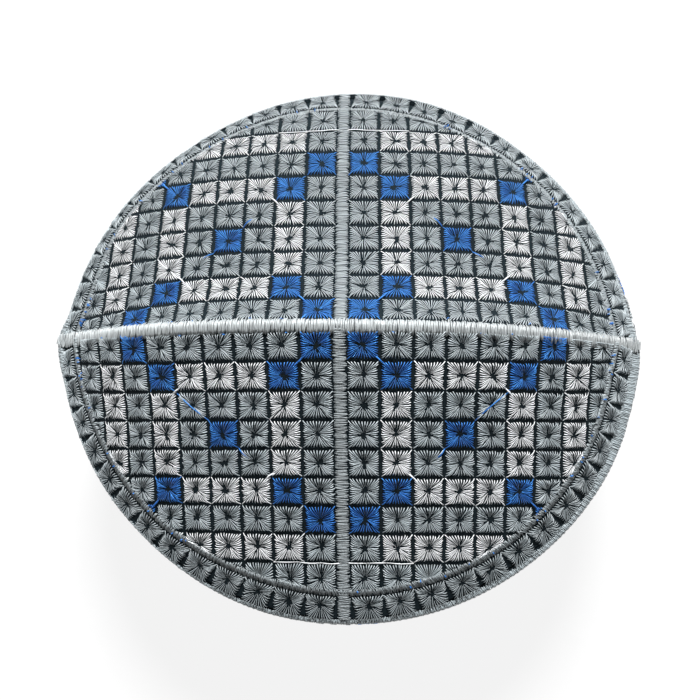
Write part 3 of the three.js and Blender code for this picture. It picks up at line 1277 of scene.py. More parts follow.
@dataclass
class CrownEmbroidery(Assembly):
    """The drawing stitched on one crown panel: motifs, ring, border, centre stripe, loose ends.

    The chart's rows begin at the ridge and its letters beside the centre stripe, G for grey, W for
    white and B for blue. The panel's other half mirrors it. The sizes of columns, rows and motifs,
    the reaches, the border's depth, foot and head, and stripe_half and stripe_ragged are in motif
    widths, and the other lengths in millimetres.
    """

    side: Side
    motif: Motif = Motif()
    back_crest: float = 0.5
    chart: tuple[str, ...] = (
        "BGGGGGBGG", "GBWWWBGWG", "GWGGGWGWG", "GWGBGWGWG", "GWGGGWGW",
        "GBWWWBGW", "BGGGGGB", "GWWWWW", "GGGG",
    )
    first_column: float = 0.255
    first_row: float = 0.27
    motif_size: float = 0.87
    grey_reach: float = 0.01
    bright_reach: float = 0.04
    last_row_extra: float = 0.12
    border_count: int = 13
    border_depth: float = 0.9
    border_foot: float = 0.97
    border_head: float = 0.78
    border_middle: float = 2.85
    border_tuck: float = 0.3
    ridge_half: float = 2.3
    front_ridge_extra: float = 0.5
    end_room: float = 0.3
    ring_gap: float = 0.35
    ring_pitch: float = 0.48
    ring_thread: float = 0.21
    ring_crest: float = 0.6
    back_ring_crest: float = 0.3
    # Painted shade for the ring's thread, on the front panel and on the back panel.
    ring_painted_shade: float = 0.5
    back_ring_painted_shade: float = 1.1
    ring_crest_spread: float = 0.09
    ring_steps: tuple[float, ...] = (0.0, 0.05, 0.40, 0.75, 1.0)
    ring_arch: tuple[float, ...] = (0.2, 1.0, 0.8, 0.4, 0.0)
    stripe_half: float = 0.195
    stripe_half_mm: float = 1.95
    stripe_room: float = 0.6
    stripe_pitch: float = 0.49
    stripe_thread: float = 0.17
    stripe_crest: float = 0.5
    # Painted shade for the stripe's thread, on the front panel and on the back panel.
    stripe_painted_shade: float = 1.5
    back_stripe_painted_shade: float = 0.7
    stripe_crest_spread: float = 0.08
    stripe_ragged: float = 0.012
    stripe_steps: tuple[float, ...] = (0.0, 0.15, 0.5, 0.85, 1.0)
    stripe_arch: tuple[float, ...] = (0.2, 0.9, 1.0, 0.9, 0.2)
    satin_taper: tuple[float, ...] = (0.75, 1.0, 1.0, 1.0, 0.75)
    satin_foot: float = 0.05
    satin_width_spread: float = 0.07
    loose_foot: float = 0.12
    loose_steps: tuple[float, ...] = (0.0, 0.25, 0.5, 0.75, 1.0)

    def __post_init__(self) -> None:
        """Makes the panel's map, flattens the back panel's stitches and gives the back its own painted
        shade.
        """
        self.map = PanelMap(self.side)
        if self.side is Side.BACK:
            self.motif = replace(self.motif, crest=self.back_crest)
            self.ring_crest = self.back_ring_crest
            self.ring_painted_shade = self.back_ring_painted_shade
            self.stripe_painted_shade = self.back_stripe_painted_shade
        self.ring_edge = self.map.ring_reach()

    def lay(
        self,
        threads: Threads,
        places: np.ndarray,
        lift: np.ndarray,
        wide: np.ndarray,
        yarn: Yarn,
        darkening: float = 0.0,
    ) -> None:
        """Puts stitches of the flat drawing on the crown.

        Args:
            threads: Where they go.
            places: Flat places, as (stitches, points, 2).
            lift: Heights above the cloth.
            wide: Half widths.
            yarn: The thread.
            darkening: How much darker they are painted.
        """
        if len(places):
            path, normal = self.map.place(places[..., 0], places[..., 1], lift)
            threads.add(path, normal, wide, yarn, darkening)

    def motifs(self, threads: Threads) -> None:
        """Stitches the square motifs inside the ring.

        Args:
            threads: Where the stitches go.
        """
        size = self.motif_size
        for row, letters in enumerate(self.chart):
            v = self.first_row + row
            last = row == len(self.chart) - 1
            low = v + size + (self.last_row_extra if last else 0.0)
            for column, letter in enumerate(letters):
                u = self.first_column + column
                corners = np.array([[u, v], [u + size, v], [u + size, low], [u, low]])
                yarn = YARN_OF[letter]
                reach = self.grey_reach if yarn is Yarn.GREY else self.bright_reach
                for mirror in (1, -1):
                    drawn = corners * (mirror, 1)
                    places, lift, wide = self.motif.stitches(drawn, self.rng, self.ring_edge, reach)
                    self.lay(threads, places, lift, wide, yarn)

    def border(self, threads: Threads) -> None:
        """Stitches the square motifs between the ring and the rim, on both sides of the stripe.

        Args:
            threads: Where the stitches go.
        """
        girth = BAND.rim.girth()
        fall_of = FALLS[self.side]
        front = self.side is Side.FRONT
        middle = girth / 4 + fall_of.skew * CROWN.half_width - self.side.value * fall_of.shift
        stripe = self.stripe_half_mm + self.stripe_room
        ridge = self.ridge_half + (self.front_ridge_extra if front else 0.0)
        spans = ((ridge, middle - stripe), (middle + stripe, girth / 2 - self.end_room))
        foot, head, depth = self.border_foot / 2, self.border_head / 2, self.border_depth
        corners = np.array([[-foot, 0], [foot, 0], [head, depth], [-head, depth]])
        for start, stop in spans:
            pitch = (stop - start) / self.border_count
            for number in range(self.border_count):
                places, lift, wide = self.motif.stitches(corners, self.rng)
                arc = start + (number + 0.5 + places[..., 0]) * pitch
                arc = arc + (girth / 2 if front else 0.0)
                turn = BAND.rim.turn_at(arc / girth)
                near = EDGE.ring(turn)
                hole = near - self.border_middle
                far = -EDGE.lip(turn) - self.border_tuck
                share = 2 * places[..., 1] / depth
                inner, outer = near + (hole - near) * share, hole + (far - hole) * (share - 1)
                path, normal = EDGE.place(turn, np.where(share < 1, inner, outer), lift)
                # Painted shade: border motifs near the front rim are darkened.
                darkening = EDGE.darkening(turn.mean(axis=1))
                threads.add(path, normal, wide, Yarn.GREY, darkening)

    def ring_line(self, threads: Threads) -> None:
        """Stitches the ring between the motifs and the border, a satin line.

        Args:
            threads: Where the stitches go.
        """
        step_spread, inset_spread = 0.0001, 0.09
        lean_mean, lean_spread = 0.004, 0.005
        count = int(BAND.rim.girth() / 2 / self.ring_pitch)
        share = evenly(count) / 2 + self.rng.normal(0, step_spread, count)
        share = share + (0.5 if self.side is Side.FRONT else 0.0)
        turn = BAND.rim.turn_at(share)[:, None]
        t = np.array(self.ring_steps)[None]
        inset = EDGE.ring(turn) + self.ring_gap + EDGE.ring_width(turn) * (1 - t)
        inset = inset + self.rng.normal(0, inset_spread, (count, 1))
        arch = self.ring_crest * np.array(self.ring_arch)[None]
        lift = self.satin_foot + arch * self.uneven(self.ring_crest_spread, count)
        lean = self.rng.normal(lean_mean, lean_spread, (count, 1))
        path, normal = EDGE.place(turn + lean * (t - 0.5), inset, lift)
        taper = np.array(self.satin_taper)[None]
        wide = self.ring_thread * taper * self.uneven(self.satin_width_spread, count)
        # Painted shade: the ring is darkened all round, more on the back panel, where it dims the ring's
        # highlight, and more towards the front rim.
        darkening = EDGE.darkening(turn[:, 0]) + self.ring_painted_shade
        threads.add(path, normal, wide, Yarn.GREY, darkening)

    def stripe(self, threads: Threads) -> None:
        """Stitches the centre stripe from the ridge to the rim, a satin line.

        Args:
            threads: Where the stitches go.
        """
        step_spread, lean_spread = 0.006, 0.012
        short_share, shortening = 0.35, 0.028
        lip = float(EDGE.lip(np.array(self.side.value * math.pi / 2)))
        end = self.side.value * (CROWN.half_width + lip)
        far = float(self.map.drawn(np.array(0.0), np.array(end))[1])
        count = int(far * self.motif.motif_mm / self.stripe_pitch)
        v = evenly(count) * far + self.rng.normal(0, step_spread, count)
        lean = self.rng.normal(0.0, lean_spread, count)
        short = np.where(self.rng.uniform(0, 1, (2, count)) < short_share, shortening, 0.0)
        left = np.stack([short[0] - self.stripe_half, v - lean], axis=1)
        right = np.stack([self.stripe_half - short[1], v + lean], axis=1)
        across = unit(right - left)
        left = left + across * self.rng.normal(0, self.stripe_ragged, (count, 1))
        right = right + across * self.rng.normal(0, self.stripe_ragged, (count, 1))
        t = np.array(self.stripe_steps)
        places = left[:, None] + (right - left)[:, None] * t[None, :, None]
        arch = self.stripe_crest * np.array(self.stripe_arch)[None]
        lift = self.satin_foot + arch * self.uneven(self.stripe_crest_spread, count)
        taper = np.array(self.satin_taper)[None]
        wide = self.stripe_thread * taper * self.uneven(self.satin_width_spread, count)
        # Painted shade: the stripe is darkened, more on the front panel, which faces away from the key
        # light.
        self.lay(threads, places, lift, wide, Yarn.GREY, self.stripe_painted_shade)

    def running(
        self,
        threads: Threads,
        line: list[tuple[float, float]],
        yarn: Yarn,
        lift: float = 0.35,
        half_width: float = 0.2,
    ) -> None:
        """Lays one loose thread along straight runs between flat places.

        Args:
            threads: Where it goes.
            line: The places, in order.
            yarn: The thread.
            lift: Height of the middle of each run.
            half_width: Half of the thread's width.
        """
        bow_spread = 0.02
        points = np.array(line, float)
        arch = np.sin(np.pi * np.array(self.loose_steps))[None]
        t = np.array(self.loose_steps)[None, :, None]
        places = points[:-1, None] + (points[1:] - points[:-1])[:, None] * t
        bow = self.rng.normal(0, bow_spread, (len(places), 1)) * arch
        lifts = self.loose_foot + lift * arch + np.zeros((len(places), 1))
        wide = np.full(lifts.shape, half_width)
        self.lay(threads, places + bow[..., None], lifts, wide, yarn)

    def long_runs(self, threads: Threads) -> None:
        """Lays the long threads: white along the last row, and blue between the blue motifs.

        Args:
            threads: Where they go.
        """
        above, sway = 0.05, 0.01
        seam = self.first_row + len(self.chart) - 1 - above
        white = ((0.05, seam), (0.7, seam + sway), (1.4, seam - sway), (2.2, seam))
        low = (5.20, 2.25) if self.side is Side.FRONT else (4.52, 3.02)
        blues = (((3.20, 4.20), (2.92, 4.54)), ((4.17, 3.22), low))
        for mirror in (1, -1):
            self.running(threads, [(mirror * u, v) for u, v in white], Yarn.WHITE)
            for blue in blues:
                line = [(mirror * u, v) for u, v in blue]
                self.running(threads, line, Yarn.BLUE, lift=0.75)

    def short_runs(self, threads: Threads) -> None:
        """Lays short threads from each white or blue motif to its diagonal neighbour in that yarn.

        Args:
            threads: Where they go.
        """
        before_column, before_row, half = 0.04, 0.05, 0.13
        for row, letters in enumerate(self.chart):
            previous = self.chart[row - 1] if row else ""
            for column in range(1, len(letters)):
                letter = letters[column]
                if letter == "G" or previous[column - 1 : column] != letter:
                    continue
                u = self.first_column + column - before_column
                v = self.first_row + row - before_row
                for mirror in (1, -1):
                    line = [(mirror * (u - half), v - half), (mirror * (u + half), v + half)]
                    self.running(threads, line, YARN_OF[letter], lift=0.55, half_width=0.26)

    def stray_ends(self, threads: Threads) -> None:
        """Scatters stray ends of blue thread along the ring, mostly near the ridge, and beside it.

        Args:
            threads: Where they go.
        """
        ring_ends, ridge_ends, crowding = 36, 9, 0.6
        least_turn, turn_range, length, most_turn = 6, 168, 0.07, 0.008
        turns = np.radians(least_turn + turn_range * self.rng.beta(crowding, crowding, ring_ends))
        radius = np.interp(turns, *self.ring_edge) + self.rng.uniform(-0.06, 0.08, ring_ends)
        for turn, near in zip(turns, radius):
            step = self.rng.uniform(-most_turn, most_turn)
            polar = ((near, turn), (near + length, turn + step))
            line = [(r * math.cos(angle), r * math.sin(angle)) for r, angle in polar]
            self.running(threads, line, Yarn.BLUE, lift=1.0, half_width=0.18)
        for u in self.rng.uniform(-8.5, 8.5, ridge_ends):
            v = self.rng.uniform(0.22, 0.30)
            line = [(u, v), (u + 0.09, v + 0.03)]
            self.running(threads, line, Yarn.BLUE, lift=0.6, half_width=0.18)

    def build(self) -> list[bpy.types.Object]:
        """Stitches the panel.

        Returns:
            The motifs' piece and the lines' piece.
        """
        name = self.side.name.lower()
        names = (f"motif_stitches_{name}", f"line_stitches_{name}")
        squares, lines = (Threads(name, self.rng) for name in names)
        for stitch in (self.motifs, self.border):
            stitch(squares)
        for stitch in (self.ring_line, self.stripe, self.long_runs, self.short_runs, self.stray_ends):
            stitch(lines)
        pieces = [squares.build(self.wardrobe.embroidery), lines.build(self.wardrobe.embroidery)]
        for piece in pieces:
            place_piece(piece, "embroidered_cloth")
        return pieces


def place_piece(piece: bpy.types.Object, slot: str, *nodes: str) -> None:
    """Makes a piece ride on the cap and hides the CAD nodes that it stands for.

    Args:
        piece: The piece.
        slot: Not used.
        *nodes: The CAD nodes that it replaces.
    """
    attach(piece, "root")
    if nodes:
        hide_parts(*nodes)


# Cloth and seams


@dataclass
class CrownCloth(Assembly):
    """The ground cloth of one crown panel, a thin wall under the stitches."""

    side: Side
    wall: float = 1.8
    ridge_setback: float = 0.5
    rim_inset: float = 0.4
    tip_width: float = 2.2
    bunching: float = 0.09
    columns: int = 96
    rows: int = 44

    def build(self) -> list[bpy.types.Object]:
        """Builds the panel's cloth.

        Returns:
            The one piece.
        """
        tip_share = (self.tip_width / CROWN.half_width) ** (1 / CROWN.power)
        tip = (CROWN.half_length - self.rim_inset) * math.sqrt(1 - tip_share)
        x = tip * np.sin(np.linspace(-math.pi / 2, math.pi / 2, self.columns))[:, None]
        along = np.linspace(0, 1, self.rows)[None]
        share = along - self.bunching * np.sin(2 * np.pi * along)
        edge = CROWN.half_width_at(x, self.rim_inset)
        y = self.side.value * (self.ridge_setback + (edge - self.ridge_setback) * share)
        x = x + 0 * y
        outer = CROWN.point(x, y, self.side)
        inner = outer - self.wall * CROWN.normal(x, y, self.side)
        loops = np.concatenate([outer, inner[:, ::-1]], axis=1)
        ridge = np.stack([x[:, 0], CROWN.ridge_height(x[:, 0])], axis=-1)
        v = lengths_along(outer, axis=1)
        u = lengths_along(ridge)[:, None] + 0 * v
        face = np.stack([u, v], axis=-1)
        uv = np.concatenate([face, face[:, ::-1], face[:, :1]], axis=1)
        name = self.side.name.lower()
        piece = loft(f"crown_cloth_{name}", loops, uv, self.wardrobe.cloth, closed=False)
        place_piece(piece, "embroidered_cloth", f"crown_panel_{name}")
        return [piece]


@dataclass
class RidgeSeam(Assembly):
    """The raised seam along the ridge: a core under two layers of overcast stitches.

    Each layer has a pitch, a share of the seam's width that its stitches span, a height above the
    first layer, and the way that its stitches lean. Across lists the places of a stitch's points.
    """

    half_width: float = 2.25
    half_thickness: float = 1.55
    sunk: float = 1.4
    thread: float = 0.25
    layers: tuple[tuple[float, float, float, int], ...] = ((0.50, 1.0, 0.0, 1), (1.1, 0.94, 0.1, -1))
    across: tuple[float, ...] = (-1.0, -0.84, -0.5, 0.0, 0.5, 0.84, 1.0)
    steps: int = 90
    sides: int = 12
    left_end: float = -97.3
    right_end: float = 95.9
    end_slope: float = 0.3
    slope_step: float = 0.1
    core_setback: float = 0.4
    core_inset: float = 0.25
    core_end_scale: float = 0.55
    core_end: float = 0.999
    core_side_mm: float = 1.1
    flatness: float = 3.4
    end_rise: float = 0.6
    end_reach: float = 7.0
    # Painted shade darkens the stitches from the first place to the second along the ridge.
    painted_shade_from_to: tuple[float, float] = (30.0, 80.0)
    right_painted_shade: float = 0.9

    def height(self, x: np.ndarray) -> np.ndarray:
        """Height of the ridge line, which runs a little past the rim at both ends.

        Args:
            x: Places along the ridge.

        Returns:
            Heights above the hem.
        """
        past = np.maximum(np.abs(x) - CROWN.half_length, 0)
        inside = CROWN.ridge_height(np.clip(x, -CROWN.half_length, CROWN.half_length))
        return inside - self.end_slope * past

    def line(self, x: np.ndarray) -> tuple[np.ndarray, np.ndarray]:
        """The ridge line.

        Args:
            x: Places along the ridge.

        Returns:
            Its points, and its upward unit normals in the plane of the ridge.
        """
        step = self.slope_step
        slope = (self.height(x + step) - self.height(x - step)) / (2 * step)
        zero = np.zeros_like(x)
        normal = unit(np.stack([-slope, zero, np.ones_like(x)], axis=-1))
        return np.stack([x, zero, self.height(x)], axis=-1), normal

    def core(self) -> bpy.types.Object:
        """Builds the core.

        Returns:
            The piece.
        """
        along = np.linspace(-1, 1, self.steps)
        middle, half = (self.left_end + self.right_end) / 2, (self.right_end - self.left_end) / 2
        x = middle + (half - self.core_setback) * np.sin(math.pi / 2 * along)
        line, normal = self.line(x)
        scale = np.where(np.abs(along) > self.core_end, self.core_end_scale, 1.0)[:, None]
        angle = 2 * np.pi * np.arange(self.sides)[None] / self.sides
        lift = self.half_thickness * np.sin(angle) * scale - self.sunk
        loops = line[:, None] + lift[..., None] * normal[:, None]
        loops[..., 1] += (self.half_width - self.core_inset) * np.cos(angle) * scale
        girth = np.arange(self.sides + 1)[None] * self.core_side_mm + 0 * x[:, None]
        uv = np.stack([x[:, None] + 0 * girth, girth], axis=-1)
        return loft("ridge_seam_core", loops, uv, self.wardrobe.core, closed=False)

    def stitches(self) -> bpy.types.Object:
        """Builds the overcast stitches in their layers.

        Returns:
            The piece.
        """
        threads = Threads("ridge_seam_stitches", self.rng)
        pitch_spread, lean_mean, lean_spread = 0.10, 0.10, 0.16
        squeeze_reach, least_squeeze = 1.6, 0.25
        reach_spread, overhang = 0.09, 1.06
        crest_mm, crest_spread, foot_mm, foot_share = 0.22, 0.05, 0.12, 0.4
        fan_width, fan_height, room = 1.2, 1.2, 0.6
        t = np.array(self.across)[None]
        length = self.right_end - self.left_end
        for pitch, reach, raised, way in self.layers:
            count = int(length / pitch)
            x = self.left_end + evenly(count) * length
            x = x + self.rng.normal(0, pitch_spread * pitch, count)
            lean = self.rng.normal(lean_mean, lean_spread, count) * way
            at = np.clip(x[:, None] + lean[:, None] * t, self.left_end, self.right_end)
            end = np.minimum(x - self.left_end, self.right_end - x)
            squeeze = np.sqrt(np.clip(end / squeeze_reach, least_squeeze, 1.0))[:, None]
            wide = self.half_width * reach * squeeze * self.rng.normal(1, reach_spread, (count, 2))
            y = np.where(t < 0, wide[:, :1], wide[:, 1:]) * t * overhang
            line, normal = self.line(at)
            past = np.abs(at) - CROWN.half_length + self.end_reach
            rise = self.end_rise * np.clip(past / self.end_reach, 0, 1)
            crest = crest_mm + raised + self.rng.normal(0, crest_spread, (count, 1)) + rise
            inside = np.clip(at, -CROWN.half_length + room, CROWN.half_length - room)
            cloth = np.where(y < 0, *(CROWN.height(inside, y, side) for side in Side))
            foot = cloth + foot_mm + foot_share * raised + rise - self.end_slope * np.abs(at - inside)
            bend = 1 - np.abs(t) ** self.flatness
            path = line.copy()
            path[..., 1] = y
            path[..., 2] = foot + (line[..., 2] + crest - foot) * bend
            fan = np.stack([0 * y, y / (self.half_width * fan_width), fan_height + 0 * y], axis=-1)
            half = self.overcast_widths(self.thread, count)
            # Painted shade: the stitches darken towards the right end of the ridge.
            darkening = np.interp(x, self.painted_shade_from_to, (0.0, self.right_painted_shade))
            threads.add(path, unit(fan + normal), half, Yarn.GREY, darkening)
        return threads.build(self.wardrobe.seam)

    def build(self) -> list[bpy.types.Object]:
        """Builds the seam.

        Returns:
            The core and the stitches.
        """
        pieces = [self.core(), self.stitches()]
        place_piece(pieces[0], "seam_thread")
        place_piece(pieces[1], "seam_thread", "ridge_seam")
        return pieces


@dataclass
class RimSeam(Assembly):
    """The overcast seam round the rim: a folded edge under close stitches.

    Its section runs from the lip on the crown over the edge and down the outside. It is given by
    shares of the seam's width in from its outer face, by drops below the crown's face or below
    the rim, and by the angle that the stitches face, in degrees. Below the edge it also stays at
    least so far out from the rim's outline that it covers the band's top. Each layer of stitches
    has a pitch, a lean and a height above the first layer.
    """

    share_in: tuple[float, ...] = (1.0, 0.74, 0.44, 0.19, 0.06, 0.0, 0.0)
    drop: tuple[float, ...] = (0.00, -0.05, -0.02, 0.28, 0.85, 1.70, 3.00)
    facing: tuple[float, ...] = (84.0, 80.0, 68.0, 45.0, 20.0, 5.0, 0.0)
    least_out: tuple[float, ...] = (-9.0, -9.0, -9.0, -9.0, 0.20, 0.65, 0.85)
    layers: tuple[tuple[float, float, float], ...] = (
        (0.48, 0.3, 0.0), (1.7, 0.9, 0.07), (1.7, -0.9, 0.07),
    )
    thread: float = 0.20
    skin: float = 0.30
    darkening: float = 0.4
    steps: int = 288
    core_lip: float = -2.2
    core_lifts: tuple[float, float] = (-0.08, -0.8)
    core_side_mm: float = 0.8

    def section(
        self, turn: np.ndarray, part: np.ndarray, lift: np.ndarray
    ) -> tuple[np.ndarray, np.ndarray]:
        """Places on the seam.

        Args:
            turn: Turns round the cap.
            part: Places along the section, from 0 at the lip to 6 below, and below 0 further in.
            lift: Distances out from it.

        Returns:
            Points and the directions they face.
        """
        turn, part, lift = np.broadcast_arrays(turn, part, lift)
        knots = np.arange(len(self.facing))
        reach, lip = EDGE.reach(turn) - self.skin, EDGE.lip(turn)
        out = reach - np.interp(part, knots, self.share_in) * (reach - lip)
        out = np.maximum(out, np.interp(part, knots, self.least_out)) + np.minimum(part, 0)
        angle = np.radians(np.interp(part, knots, self.facing))
        outward = BAND.rim.outward(turn)
        facing = np.concatenate(
            [np.cos(angle)[..., None] * outward, np.sin(angle)[..., None]], axis=-1
        )
        crown, _ = EDGE.place(turn, -out, np.array(0.0))
        z = crown[..., 2] - np.interp(part, knots, self.drop)
        plan = crown[..., :2]
        return np.concatenate([plan, z[..., None]], axis=-1) + lift[..., None] * facing, facing

    def core(self) -> bpy.types.Object:
        """Builds the folded edge under the stitches.

        Returns:
            The piece.
        """
        turn = BAND.rim.turns(self.steps)[:, None]
        knots = np.array([self.core_lip, *range(len(self.facing))], float)[None]
        outer, inner = (np.array(lift) for lift in self.core_lifts)
        face, _ = self.section(turn, knots, outer)
        back, _ = self.section(turn, knots[:, ::-1], inner)
        loops = np.concatenate([face, back], axis=1)
        girth = np.arange(loops.shape[1] + 1) * self.core_side_mm
        uv = np.stack(np.meshgrid(BAND.rim.arcs(self.steps), girth, indexing="ij"), axis=-1)
        return loft("rim_seam_core", loops, uv, self.wardrobe.cloth, closed=True)

    def stitches(self) -> bpy.types.Object:
        """Builds the overcast stitches in their layers.

        Returns:
            The piece.
        """
        shift_spread, part_spread, furthest_in = 0.05, 0.14, -0.3
        foot_mm, most_lift = 0.03, 0.08
        threads = Threads("rim_seam_stitches", self.rng)
        knots = np.arange(len(self.facing), dtype=float)
        girth = BAND.rim.girth()
        for pitch, lean, raised in self.layers:
            count = int(girth / pitch)
            shift = lean / pitch * np.linspace(-0.5, 0.5, len(knots))[None]
            shift = shift + self.rng.normal(0, shift_spread, (count, 1))
            turn = BAND.rim.turn_at((np.arange(count)[:, None] + shift) / count)
            part = np.maximum(knots[None] + self.rng.normal(0, part_spread, (count, 1)), furthest_in)
            lift = foot_mm + raised + self.rng.uniform(0, most_lift, (count, 1))
            path, facing = self.section(turn, part, lift)
            half = self.overcast_widths(self.thread, count)
            threads.add(path, facing, half, Yarn.GREY, self.darkening)
        return threads.build(self.wardrobe.embroidery)

    def build(self) -> list[bpy.types.Object]:
        """Builds the seam.

        Returns:
            The core and the stitches.
        """
        pieces = [self.core(), self.stitches()]
        place_piece(pieces[0], "seam_thread")
        place_piece(pieces[1], "seam_thread", "rim_seam")
        return pieces


@dataclass
class SideBand(Assembly):
    """The side band: a ground cloth wall, and rows of square motifs round it.

    Each of the chart's rows repeats round the band, the first one at the top. The depths are those
    of the wall's outlines below the band's top, from the hem up.
    """

    columns: int = 66
    chart: tuple[str, ...] = ("BGG", "GWW", "BGG", "GWW", "BGG")
    first_row: float = 1.4
    pitch_down: float = 8.5
    fill: float = 0.91
    corner_reach: float = 0.03
    least_thread: float = 0.3
    steps: int = 264
    wall: float = 1.8
    depths: tuple[float, ...] = (46.8, 40, 32, 24, 16, 11, 7.5, 5, 3.5, 2.2, 1.0, 0.0, -0.9)
    inner_drift: float = 60.0
    motif: Motif = Motif(
        spacing=0.118, thread=0.30, crest=0.85, steps=(0.0, 0.3, 0.66, 1.0),
        arch=(0.08, 0.85, 0.9, 0.12), taper=(0.8, 1.0, 0.9, 0.55),
    )

    def cloth(self) -> bpy.types.Object:
        """Builds the wall, with its top edge up under the rim seam.

        Returns:
            The piece.
        """
        turn = BAND.rim.turns(self.steps)[:, None]
        depths = np.array(self.depths)
        outer = BAND.place(turn, depths[None], np.array(0.0))
        inner = BAND.place(turn, depths[None, ::-1], np.array(-self.wall))
        loops = np.concatenate([outer, inner], axis=1)
        inside, back = depths[::-1] + self.inner_drift, depths[:1] + 2 * self.inner_drift
        down = np.concatenate([depths, inside, back])
        uv = np.stack(np.meshgrid(BAND.rim.arcs(self.steps), down, indexing="ij"), axis=-1)
        piece = loft("side_band_cloth", loops, uv, self.wardrobe.cloth, closed=True)
        place_piece(piece, "embroidered_cloth", "side_band")
        return piece

    def row(self, threads: Threads, number: int) -> None:
        """Stitches one row of motifs round the band.

        Args:
            threads: Where the stitches go.
            number: The row, 0 at the top.
        """
        letters = self.chart[number]
        pitch = BAND.rim.girth() / self.columns
        size = min(pitch, self.pitch_down) / self.motif.motif_mm
        slimmer = self.least_thread + (1 - self.least_thread) * size
        near = (1 - self.fill) / 2
        far, low, high = near + self.fill, number + near + self.fill, number + near
        corners = np.array([[near, high], [far, high], [far, low], [near, low]])
        for column in range(self.columns):
            # Columns run from the right end towards the front, so that a blue one starts there.
            places, lift, wide = self.motif.stitches(corners, self.rng, reach=self.corner_reach)
            turn = BAND.rim.turn_at(-(places[..., 0] + column) / self.columns)
            depth = self.first_row + places[..., 1] * self.pitch_down
            path, normal = BAND.place(turn, depth, lift), BAND.normal(turn, depth)
            yarn = YARN_OF[letters[column % len(letters)]]
            threads.add(path, normal, wide * slimmer, yarn)

    def build(self) -> list[bpy.types.Object]:
        """Builds the wall and the rows, in pieces that each stay light.

        Returns:
            The pieces.
        """
        pieces = [self.cloth()]
        for name, rows in (("upper", range(0, 2)), ("lower", range(2, len(self.chart)))):
            threads = Threads(f"side_band_stitches_{name}", self.rng)
            for number in rows:
                self.row(threads, number)
            piece = threads.build(self.wardrobe.embroidery)
            place_piece(piece, "embroidered_cloth")
            pieces.append(piece)
        return pieces


@dataclass
class HemEdge(Assembly):
    """The bound hem: a rolled cloth edge with overcast stitches.

    The right half of its section and a stitch's route over it are given as pairs: out from the
    hem's middle, and up from its foot. The section's are shares of the half width and the height.
    """

    half_width: float = 2.3
    height: float = 4.4
    right_half: tuple[tuple[float, float], ...] = (
        (0.6, 0.0), (0.85, 0.12), (1.0, 0.35), (0.96, 0.6), (0.8, 0.82), (0.35, 0.99),
    )
    route: tuple[tuple[float, float], ...] = (
        (2.05, 0.62), (2.38, 1.6), (2.3, 2.6), (1.9, 3.6), (0.8, 4.45), (-0.6, 4.5), (-1.7, 3.9),
    )
    stand_out: float = 0.2
    steps: int = 264
    pitch: float = 1.9
    thread: float = 0.3

    def outline(self) -> np.ndarray:
        """Works out the section, anticlockwise from the outer edge of the foot.

        Returns:
            Pairs of outward and z.
        """
        right = np.array(self.right_half) * (self.half_width, self.height)
        return np.concatenate([right, right[::-1] * (-1, 1)])

    def place(self, turn: np.ndarray, out: np.ndarray, z: np.ndarray) -> np.ndarray:
        """Places round the hem.

        Args:
            turn: Turns round the cap.
            out: Distances out from the middle of the hem.
            z: Heights.

        Returns:
            Points in the cap's frame.
        """
        turn, out, z = np.broadcast_arrays(turn, out, z)
        plan = BAND.hem.offset(turn, out + self.stand_out)
        return np.concatenate([plan, z[..., None]], axis=-1)

    def binding(self) -> bpy.types.Object:
        """Builds the rolled cloth edge.

        Returns:
            The piece.
        """
        outline = self.outline()
        turn = BAND.hem.turns(self.steps)[:, None]
        loops = self.place(turn, outline[None, :, 0], outline[None, :, 1])
        girth = lengths_along(np.vstack([outline, outline[:1]]))
        uv = np.stack(np.meshgrid(BAND.hem.arcs(self.steps), girth, indexing="ij"), axis=-1)
        return loft("hem_binding", loops, uv, self.wardrobe.binding, closed=True)

    def stitches(self) -> bpy.types.Object:
        """Builds the overcast stitches.

        Returns:
            The piece.
        """
        lean_mean, lean_spread, turn_spread = 0.010, 0.002, 0.0015
        swell, swell_drop = 1.5, 1.1
        threads = Threads("hem_stitches", self.rng)
        count = int(BAND.hem.girth() / self.pitch)
        out, up = np.array(self.route).T[:, None]
        lean = self.rng.normal(lean_mean, lean_spread, (count, 1))
        at = BAND.hem.turns(count)[:, None] + np.linspace(-0.5, 0.5, len(self.route))[None] * lean
        at = at + self.rng.normal(0, turn_spread, (count, 1))
        path = self.place(at, out, up)
        facing = self.place(at, out * swell, up * swell - swell_drop)
        half = self.overcast_widths(self.thread, count)
        threads.add(path, unit(facing - path), half, Yarn.GREY)
        return threads.build(self.wardrobe.seam)

    def build(self) -> list[bpy.types.Object]:
        """Builds the hem.

        Returns:
            The binding and the stitches.
        """
        pieces = [self.binding(), self.stitches()]
        place_piece(pieces[0], "hem_binding", "hem_edge")
        place_piece(pieces[1], "hem_binding")
        return pieces


# Studio


